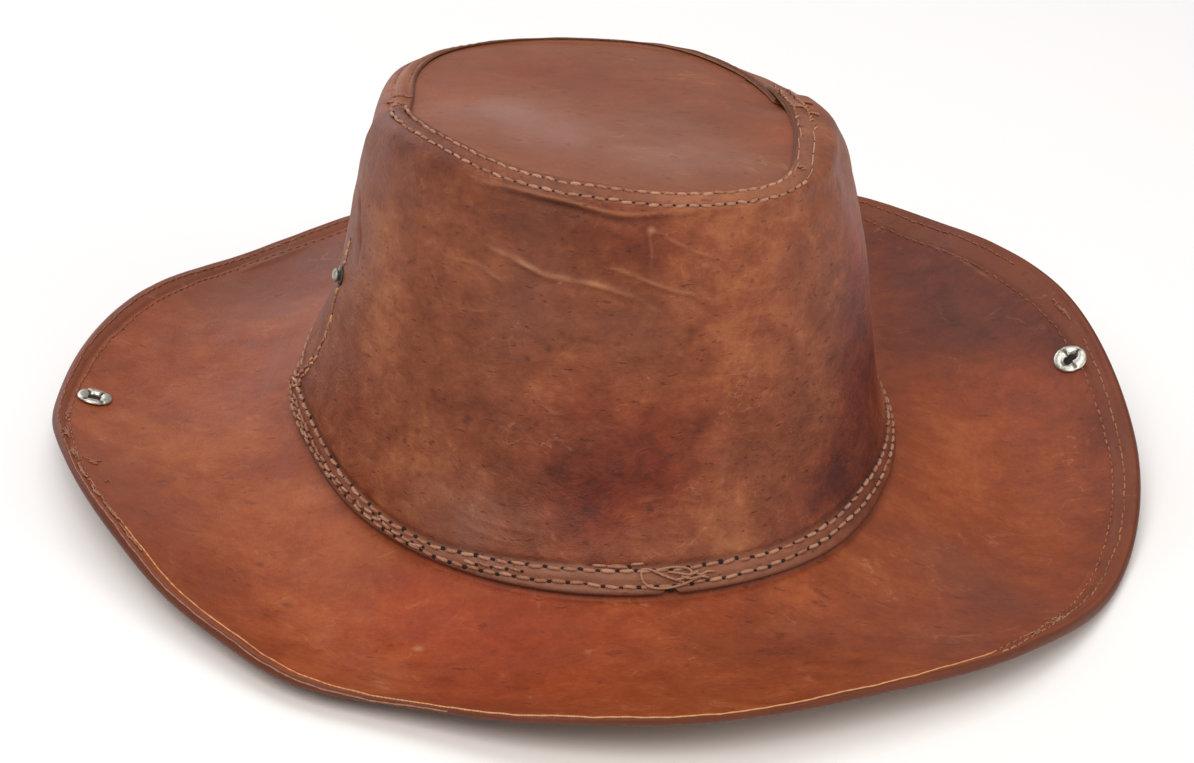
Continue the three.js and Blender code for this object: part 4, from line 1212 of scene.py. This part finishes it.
def flange_stitches(holes, face):
    """Rows round the crown's foot, what was sewn again over them and the loops that hang loose."""
    threads = Threads("crown_flange_stitches")
    overlap = math.radians(HALF_LAP - 1)
    front_start = seam_angle("seam_left", np.array(0.03)) - overlap
    front_end = TAU + seam_angle("seam_right", np.array(0.03)) + overlap
    front = np.linspace(front_start, front_end, 500)
    back = np.linspace(front_end - TAU + 0.04, front_start - 0.04, 500)
    for row in FLANGE_ROWS.values():
        uneven = by_angle(row, front) + 0.0014 * np.sin(front * 9)
        stitch_row(threads, holes, (face, front, uneven), *STITCHES["flange_front"])
        line = (crown_surface(underlap), back, by_angle(row, back))
        stitch_row(threads, holes, line, *STITCHES["flange_back"])
    for points in FLANGE_REPAIRS:
        points = smooth_line(points, 20)
        stitch_row(threads, holes, (face, np.radians(points[:, 0]), points[:, 1]), *STITCHES["repair"])
    for loop in FLANGE_LOOPS:
        loop = smooth_line(loop, 8)
        points, normals = face(np.radians(loop[:, 0]), loop[:, 1])
        points = points + normals * (0.35 + 0.75 * loop[:, 2])[:, None]
        threads.add(*tube(points, np.full(len(points), LOOP_THICKNESS), 8, normals[0]), 0.7)
    # Dark disc of painted shade in the notch, over the brim beneath
    gap, up = face(np.radians([NOTCH_ANGLE]), np.array([0.013]))
    holes.add(*hole(gap[0] - up[0] * 0.1, up[0], unit(np.cross(up[0], [0, 0, 1])), 1.2), 0)
    threads.finish(thread)


def top_stitches(holes, face):
    """Two rows round the turned-in top."""
    threads = Threads("crown_top_stitches")
    for inset in TOP_ROWS:
        for kind, start, end in TOP_STITCHES:
            sweep = np.linspace(math.radians(start), math.radians(end), 300)
            stitch_row(threads, holes, (face, sweep, top_row_path(sweep, inset)), *STITCHES[kind])
        sweep = np.linspace(math.radians(30), math.radians(170), 500)
        line = (crown_surface(back_depth), sweep, top_row_path(sweep, inset))
        stitch_row(threads, holes, line, *STITCHES["top_back"])
    threads.finish(thread)


def seam_stitches(holes, face):
    """Rows up the side seams, and the tangles of thread at the seams and on top."""
    threads = Threads("crown_seam_stitches")
    for side, turn in (("seam_left", 1), ("seam_right", -1)):
        for offset, end in SEAM_ROWS:
            path = np.linspace(0.005, end, 300)
            line = (face, seam_angle(side, path) + turn * math.radians(offset), path)
            stitch_row(threads, holes, line, *STITCHES["seam"])
    for at, path, spread, count in CROWN_TANGLES:
        tangle(threads, crown_surface(visible_depth), math.radians(at), path, spread, spread, count,
               (1 / CROWN_RADIUS, 1 / CROWN_LENGTH), CROWN_END_THICKNESS, (0.1, 0.8))
    threads.finish(thread)


def crown_stitches():
    holes = Threads("crown_stitch_hole_shades")
    for sew in (flange_stitches, top_stitches, seam_stitches):
        sew(holes, crown_surface(no_depth))
    holes.finish(hole_painted_shade)


def brim_stitches(surface):
    """The two rows of the brim's hem, and the ends of thread that hang from them."""
    holes = Threads("brim_stitch_hole_shades")
    threads = Threads("brim_hem_stitches")
    for row, start, end, pitch, thickness, fill, shades in HEM_STITCHES:
        sweep = np.radians(np.linspace(start, end, 3 * int(end - start)))
        wander = by_angle(HEM_ROWS[row], sweep) + 0.15 * np.sin(sweep * 13) + 0.08 * np.sin(sweep * 31)
        stitch_row(threads, holes, (surface, sweep, wander), pitch, thickness, fill, 0.12, 0.05, 0.7, shades)
    for row, start, end, thickness, shade in HEM_LONG_THREADS:
        sweep = np.radians(np.linspace(start, end, 3 * int(end - start)))
        long_thread(threads, (surface, sweep, by_angle(HEM_ROWS[row], sweep)), thickness, shade)
    # Dark disc of painted shade in each eyelet's hole
    for at, out in SNAPS.values():
        centre, axis = brim_place(at, out)
        holes.add(*hole(centre, axis, unit(np.cross(axis, [0, 1, 0])), SNAP_HOLE), 0)
    for at, to_edge, along, across, count in BRIM_FRAYS:
        tangle(threads, surface, math.radians(at), to_edge, along, across, count, (1 / BRIM_RADIUS, 1),
               BRIM_END_THICKNESS, (0.2, 0.7))
    threads.finish(thread)
    holes.finish(hole_painted_shade)


def brim_place(at, out):
    """Point and normal of the brim's upper face at an angle in degrees and a share of the way out."""
    angle = np.radians(np.array([at]))
    out = np.array([out])
    normal = brim_normal(angle, out)
    return (brim_top(angle, out) + normal * brim_relief(angle, out)[:, None])[0], normal[0]


def spun(profile, steps):
    """Rings of points of a closed profile, of radius and height pairs, turned round the axis Z."""
    turn = (np.arange(steps) / steps * TAU)[:, None]
    radius, height = np.array(profile).T
    return np.stack(np.broadcast_arrays(radius * np.cos(turn), radius * np.sin(turn), height), axis=-1)


def metal_piece(name, suffix, points, centre, axis, dark_and_shade):
    """Metal piece from spun points, set on a face with their axis along its normal, replacing its node."""
    turn = Vector((0, 0, 1)).rotation_difference(Vector(axis)).to_matrix()
    shape = points.reshape(-1, 3) @ np.array(turn).T + centre
    ids = np.arange(len(shape)).reshape(points.shape[:2])
    faces = grid_faces(np.column_stack([ids, ids[:, 0]]), closed=True)
    piece = make_mesh(name + suffix, shape, faces, [True] * len(faces), {"dark_and_shade": dark_and_shade.ravel()}, snap_metal)
    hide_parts(name)


def eyelet(name):
    """Rolled eyelet whose lip is split into petals by slits, round an uneven hole."""
    points = spun(EYELET_PROFILE, EYELET_STEPS)
    spin = np.arange(EYELET_STEPS) / EYELET_STEPS * 360
    slits = [(depth, degrees_from(at, spin)) for at, depth in SLITS[name]]
    slit, mouth = (sum(depth * bell(turn, width) for depth, turn in slits)[:, None] for width in (7, 15))
    long_way, oblong, opening = EYELET_HOLES[name]
    raised = np.array([height > 0.25 for _, height in EYELET_PROFILE])[None, :]
    radius = np.linalg.norm(points[..., :2], axis=-1)
    inner = ease(4.6, 2.2, radius)
    oval = oblong * np.cos(np.radians(2 * (spin - long_way)))[:, None]
    wanted = radius + raised * inner * (oval + opening * mouth - 0.25)
    wanted -= raised * ease(4.9, 5.6, radius) * slit * 0.25
    points[..., :2] *= (wanted / radius)[..., None]
    inside = ease(5.3, 4.3, radius)
    points[..., 2] -= raised * slit * inside * 0.9 * (points[..., 2] - 0.1)
    points[..., 2] += raised * 0.08 * np.sin(np.radians(spin * 3 + 40))[:, None]
    # Painted shade in the slits and on the metal below the lip's top, inside the hole and under the roll
    dark_and_shade = np.maximum(slit * raised * inside * 1.6, points[..., 2] < 0.3)
    metal_piece(name, "_petals", points, *brim_place(*SNAPS[name]), np.clip(dark_and_shade, 0, 1))


def stud(name, side):
    """Snap stud on a side seam: a washer, a neck and a round head."""
    path = np.array([STUD_PATH])
    angle = seam_angle(side, path)
    points = spun(STUD_PROFILE, STUD_STEPS)
    # Darker towards the foot: partly a black washer and neck, partly painted shade under the head
    dark_and_shade = 0.95 - 0.70 * ease(1.0, 2.4, points[..., 2])
    metal_piece(name, "_metal", points, crown_face(angle, path)[0], crown_normal(angle, path)[0], dark_and_shade)


def rgb(code):
    """Linear colour from a hexadecimal sRGB one."""
    parts = [int(code[i:i + 2], 16) / 255 for i in (1, 3, 5)]
    linear = [p / 12.92 if p <= 0.04045 else ((p + 0.055) / 1.055) ** 2.4 for p in parts]
    return (*linear, 1.0)


class Shader:
    """Node material with short calls for its nodes."""

    def __init__(self, name):
        self.material = bpy.data.materials.new(name)
        self.material.use_nodes = True
        self.nodes = self.material.node_tree.nodes
        self.links = self.material.node_tree.links
        self.nodes.clear()
        self.surface = self.add("ShaderNodeBsdfPrincipled")
        output = self.add("ShaderNodeOutputMaterial")
        self.links.new(self.surface.outputs[0], output.inputs["Surface"])
        self.place = self.add("ShaderNodeTexCoord").outputs["Object"]

    def add(self, kind, inputs=None, **settings):
        node = self.nodes.new(kind)
        for key, value in settings.items():
            setattr(node, key, value)
        for key, value in (inputs or {}).items():
            self.put(node.inputs[key], value)
        return node

    def put(self, socket, value):
        if isinstance(value, bpy.types.NodeSocket):
            self.links.new(value, socket)
        else:
            socket.default_value = value

    def noise(self, scale, detail=4.0, roughness=0.55, distortion=0.0, stretch=None):
        place = self.place
        if stretch:
            place = self.add("ShaderNodeMapping", {"Vector": place, "Scale": stretch}).outputs[0]
        node = self.add("ShaderNodeTexNoise", {"Vector": place, "Scale": scale, "Detail": detail,
                                               "Roughness": roughness, "Distortion": distortion})
        return node.outputs["Fac"]

    def attribute(self, name):
        return self.add("ShaderNodeAttribute", attribute_name=name).outputs["Fac"]

    def math(self, operation, a, b=0.0, c=0.0):
        node = self.add("ShaderNodeMath", operation=operation)
        for socket, value in zip(node.inputs, (a, b, c)):
            self.put(socket, value)
        return node.outputs[0]

    def span(self, value, low, high, to_low=0.0, to_high=1.0):
        node = self.add("ShaderNodeMapRange", {
            "Value": value, "From Min": low, "From Max": high, "To Min": to_low, "To Max": to_high})
        return node.outputs[0]

    def mix(self, share, a, b, blend="MIX"):
        node = self.add("ShaderNodeMix", data_type="RGBA", blend_type=blend)
        for index, value in ((0, share), (6, a), (7, b)):
            self.put(node.inputs[index], value)
        return node.outputs[2]

    def tint(self, colour, mask, strength, code, blend="MIX"):
        """A colour code laid over a colour, as strong as a mask times a strength."""
        return self.mix(self.math("MULTIPLY", mask, strength), colour, rgb(code), blend)

    def ramp(self, value, stops):
        node = self.add("ShaderNodeValToRGB", {"Fac": value})
        elements = node.color_ramp.elements
        while len(elements) < len(stops):
            elements.new(0.5)
        for element, (position, colour) in zip(elements, stops):
            element.position = position
            element.color = rgb(colour)
        return node.outputs[0]

    def bump(self, height, strength, distance, normal=None):
        inputs = {"Height": height, "Strength": strength, "Distance": distance}
        if normal is not None:
            inputs["Normal"] = normal
        return self.add("ShaderNodeBump", inputs).outputs[0]

    def finish(self, inputs):
        for key, value in inputs.items():
            self.put(self.surface.inputs[key], value)
        return self.material


def leather(name, level, palette, violet_and_sheen, rust, hem, mottle, grain, pit_grain):
    """Oiled leather: blotches over the tones, painted sheen and painted shade that its mesh carries, pores,
    wrinkles and a suede back.
    """
    shader = Shader(name)
    span = shader.span
    blotch = shader.noise(55, 6, 0.62, 0.8)
    streaks = shader.noise(95, 6, 0.66, 0.5, stretch=grain)
    lines = shader.noise(260, 5, 0.62, 0.3)
    value = shader.math("MULTIPLY_ADD", shader.attribute("tone"), 0.24, level)
    value = shader.math("ADD", value, span(shader.noise(16, 3, 0.5, 0.6), 0.25, 0.75, -0.06, 0.06))
    fine = shader.noise(620, 5, 0.7)
    strengths = (0.16 * mottle, 0.16 * mottle, 0.07 * mottle, 0.07)
    for layer, most in zip((blotch, streaks, lines, fine), strengths):
        value = shader.math("ADD", value, span(layer, 0.2, 0.8, -most, most))
    colour = shader.ramp(value, palette)
    # Grey-violet tint: violet patches of the leather and a painted sheen and reflection
    cool = shader.attribute("violet_and_sheen")
    colour = shader.tint(colour, span(cool, 0.0, 1.0), span(blotch, 0.35, 0.6, 0.5, 0.9), violet_and_sheen)
    colour = shader.tint(colour, span(cool, 0.0, -1.0), 0.55, rust, "SOFT_LIGHT")
    colour = shader.tint(colour, shader.attribute("hem"), span(streaks, 0.3, 0.7, 0.45, 0.80), hem)
    thin = shader.math("ABSOLUTE", shader.math("SUBTRACT", shader.noise(46, 4, 0.55, 0.5, grain), 0.5))
    pale = shader.attribute("pale")
    pits = span(shader.noise(300, 2, 0.5, stretch=pit_grain), 0.66, 0.73)
    for mask, strength, code in (
        (span(thin, 0.0, 0.008, 1.0, 0.0), span(blotch, 0.5, 0.65, 0.0, 0.35), "#b5805c"),
        # pale: real marks and scuffs, and painted highlight and painted shade at the top fold, the flange
        # crease and the bottom edge
        (span(pale, 0.05, 1.0), 0.55, "#bd8763"),
        (span(pale, -0.05, -1.0), 0.75, "#341610"),
        (shader.attribute("worn"), span(streaks, 0.25, 0.75, 0.65, 0.95), "#56260f"),
        (pits, 0.5 * mottle, "#43231a"),
    ):
        colour = shader.tint(colour, mask, strength, code)
    flesh = shader.attribute("flesh")
    suede = shader.ramp(shader.noise(330, 6, 0.7), [(0.25, "#6d4a36"), (0.75, "#94694c")])
    rough = shader.math("ADD", span(blotch, 0.25, 0.75, 0.42, 0.56), shader.math("MULTIPLY", flesh, 0.35))
    cells = shader.add("ShaderNodeTexVoronoi", {"Vector": shader.place, "Scale": 800.0},
                       feature="DISTANCE_TO_EDGE")
    normal = None
    for height, strength, distance in (
        (shader.noise(110, 6, 0.64, 1.0, grain), 0.40 * mottle, 0.0018),
        (lines, 0.25 * mottle, 0.0006),
        (shader.noise(1400, 3, 0.6), 0.25, 0.0004),
        (span(cells.outputs["Distance"], 0.0, 0.12), 0.15, 0.00025),
        (pits, 0.6, -0.0003),
    ):
        normal = shader.bump(height, strength, distance, normal)
    return shader.finish({"Base Color": shader.mix(flesh, colour, suede), "Roughness": rough,
                          "Normal": normal, "Specular IOR Level": 0.30})


def thread_material():
    shader = Shader("waxed_thread")
    dirt = shader.math("MULTIPLY", shader.noise(900, 4, 0.7), 0.5)
    value = shader.math("MULTIPLY_ADD", shader.attribute("shade"), 0.5, dirt)
    colour = shader.ramp(value, [(0.15, "#74422a"), (0.45, "#966246"), (0.75, "#b5876d"), (0.95, "#cf9460")])
    twist = shader.add("ShaderNodeTexWave", {"Vector": shader.place, "Scale": 700.0, "Distortion": 2.0},
                       bands_direction="DIAGONAL")
    return shader.finish({"Base Color": colour, "Roughness": 0.62,
                          "Normal": shader.bump(twist.outputs["Fac"], 0.5, 0.0003)})


def hole_material():
    shader = Shader("needle_hole_painted_shade")
    # Near-black: painted shade of the holes
    colour = shader.ramp(shader.noise(700, 3), [(0.3, "#140a07"), (0.8, "#2c1710")])
    return shader.finish({"Base Color": colour, "Roughness": 0.9})


def metal_material():
    shader = Shader("nickel_snap")
    dark_and_shade = shader.attribute("dark_and_shade")
    tarnish = shader.noise(600, 5, 0.7)
    colour = shader.ramp(tarnish, [(0.3, "#a09c8c"), (0.55, "#cfccc0"), (0.8, "#e6e4dc")])
    return shader.finish({
        # Near-black where the mesh marks painted shade or dark metal
        "Base Color": shader.mix(dark_and_shade, colour, rgb("#1c1813")),
        "Metallic": shader.math("MULTIPLY_ADD", dark_and_shade, -0.85, 0.85),
        "Roughness": shader.span(tarnish, 0.2, 0.8, 0.42, 0.25),
        "Normal": shader.bump(tarnish, 0.25, 0.0002),
    })


def floor():
    mesh = bpy.data.meshes.new("floor")
    size = 8.0
    corners = [(-size, -size, 0), (size, -size, 0), (size, size, 0), (-size, size, 0)]
    mesh.from_pydata(corners, [], [(0, 1, 2, 3)])
    shader = Shader("pale_floor")
    tint = shader.ramp(shader.noise(1.5, 2), [(0.3, "#f2f1f0"), (0.7, "#f6f5f4")])
    mesh.materials.append(shader.finish({"Base Color": tint, "Roughness": 0.9}))
    plane = bpy.data.objects.new("floor", mesh)
    bpy.context.scene.collection.objects.link(plane)


def lights():
    """Evenly lit surroundings and four large soft lights."""
    world = bpy.data.worlds.new("studio")
    world.use_nodes = True
    background = world.node_tree.nodes["Background"]
    background.inputs["Color"].default_value = rgb("#f8f8fa")
    background.inputs["Strength"].default_value = 0.42
    bpy.context.scene.world = world
    for name, (place, aim, size, power, colour) in LIGHTS.items():
        data = bpy.data.lights.new(name, "AREA")
        data.shape = "RECTANGLE"
        data.size, data.size_y = size
        data.energy = power
        data.color = rgb(colour)[:3]
        light = bpy.data.objects.new(name, data)
        light.location = place
        light.rotation_euler = (Vector(aim) - Vector(place)).to_track_quat("-Z", "Y").to_euler()
        bpy.context.scene.collection.objects.link(light)


def camera():
    azimuth, elevation, roll = (math.radians(v) for v in (-CAMERA_AZIMUTH, CAMERA_ELEVATION, CAMERA_ROLL))
    back = Vector((-math.sin(azimuth) * math.cos(elevation), -math.cos(azimuth) * math.cos(elevation),
                   math.sin(elevation)))
    right = Vector((math.cos(azimuth), -math.sin(azimuth), 0))
    up = back.cross(right)
    place = right * CAMERA_AIM_RIGHT + Vector((0, 0, CAMERA_AIM_UP)) + back * CAMERA_DISTANCE
    place = (place - Vector(MIDDLE)) * MM
    turned_right = right * math.cos(roll) - up * math.sin(roll)
    turned_up = right * math.sin(roll) + up * math.cos(roll)
    data = bpy.data.cameras.new("camera")
    data.lens = CAMERA_LENS
    data.sensor_width = 36
    data.clip_end = 50
    eye = bpy.data.objects.new("camera", data)
    axes = Matrix((turned_right, turned_up, back)).transposed()
    eye.matrix_world = Matrix.Translation(place) @ axes.to_4x4()
    bpy.context.scene.collection.objects.link(eye)
    bpy.context.scene.camera = eye


crown_leather = leather(
    "crown_leather_oiled", level=0.462,
    palette=[(0.12, "#4a1e0e"), (0.34, "#6e361d"), (0.52, "#85482b"), (0.68, "#9b5e3a"), (0.88, "#b4794d")],
    violet_and_sheen="#774c40", rust="#c05c28", hem="#8a5c46", mottle=1.0, grain=(1.0, 1.0, 1.7),
    pit_grain=(1.0, 1.0, 2.6))
tip_leather = leather(
    "tip_leather_oiled", level=0.475,
    palette=[(0.12, "#5e2f1c"), (0.34, "#754029"), (0.52, "#854c32"), (0.68, "#96593b"), (0.88, "#aa6c4b")],
    violet_and_sheen="#8f695e", rust="#c0602a", hem="#8a5a3c", mottle=0.5, grain=(0.6, 1.0, 1.0),
    pit_grain=(0.6, 1.0, 1.0))
brim_leather = leather(
    "brim_leather_oiled", level=0.495,
    palette=[(0.12, "#481b0a"), (0.34, "#6d2f16"), (0.52, "#88401e"), (0.68, "#9f562d"), (0.88, "#b66c3f")],
    violet_and_sheen="#6f4539", rust="#d08c2c", hem="#71391f", mottle=0.6, grain=(0.6, 1.0, 1.0),
    pit_grain=(0.5, 1.0, 1.0))
thread = thread_material()
hole_painted_shade = hole_material()
snap_metal = metal_material()

half_lap = math.radians(HALF_LAP)
crown_panel(
    "crown_front", lambda path: seam_angle("seam_left", path) - half_lap,
    lambda path: TAU + seam_angle("seam_right", path) + half_lap, no_depth,
    lambda angle: NOTCH_DEPTH * bell(np.degrees(angle) - NOTCH_ANGLE, NOTCH_WIDTH), pared_front)
crown_panel(
    "crown_back", lambda path: seam_angle("seam_right", path) - half_lap,
    lambda path: seam_angle("seam_left", path) + half_lap, underlap,
    lambda angle: 0 * angle, lambda angle, path, ends: pared_back(angle, path))
crown_tip()
brim_surface = brim()
crown_stitches()
brim_stitches(brim_surface)
for snap in SNAPS:
    eyelet(snap)
stud("crown_stud_left", "seam_left")
stud("crown_stud_right", "seam_right")
floor()
lights()
camera()
bpy.context.scene.view_settings.view_transform = "Standard"
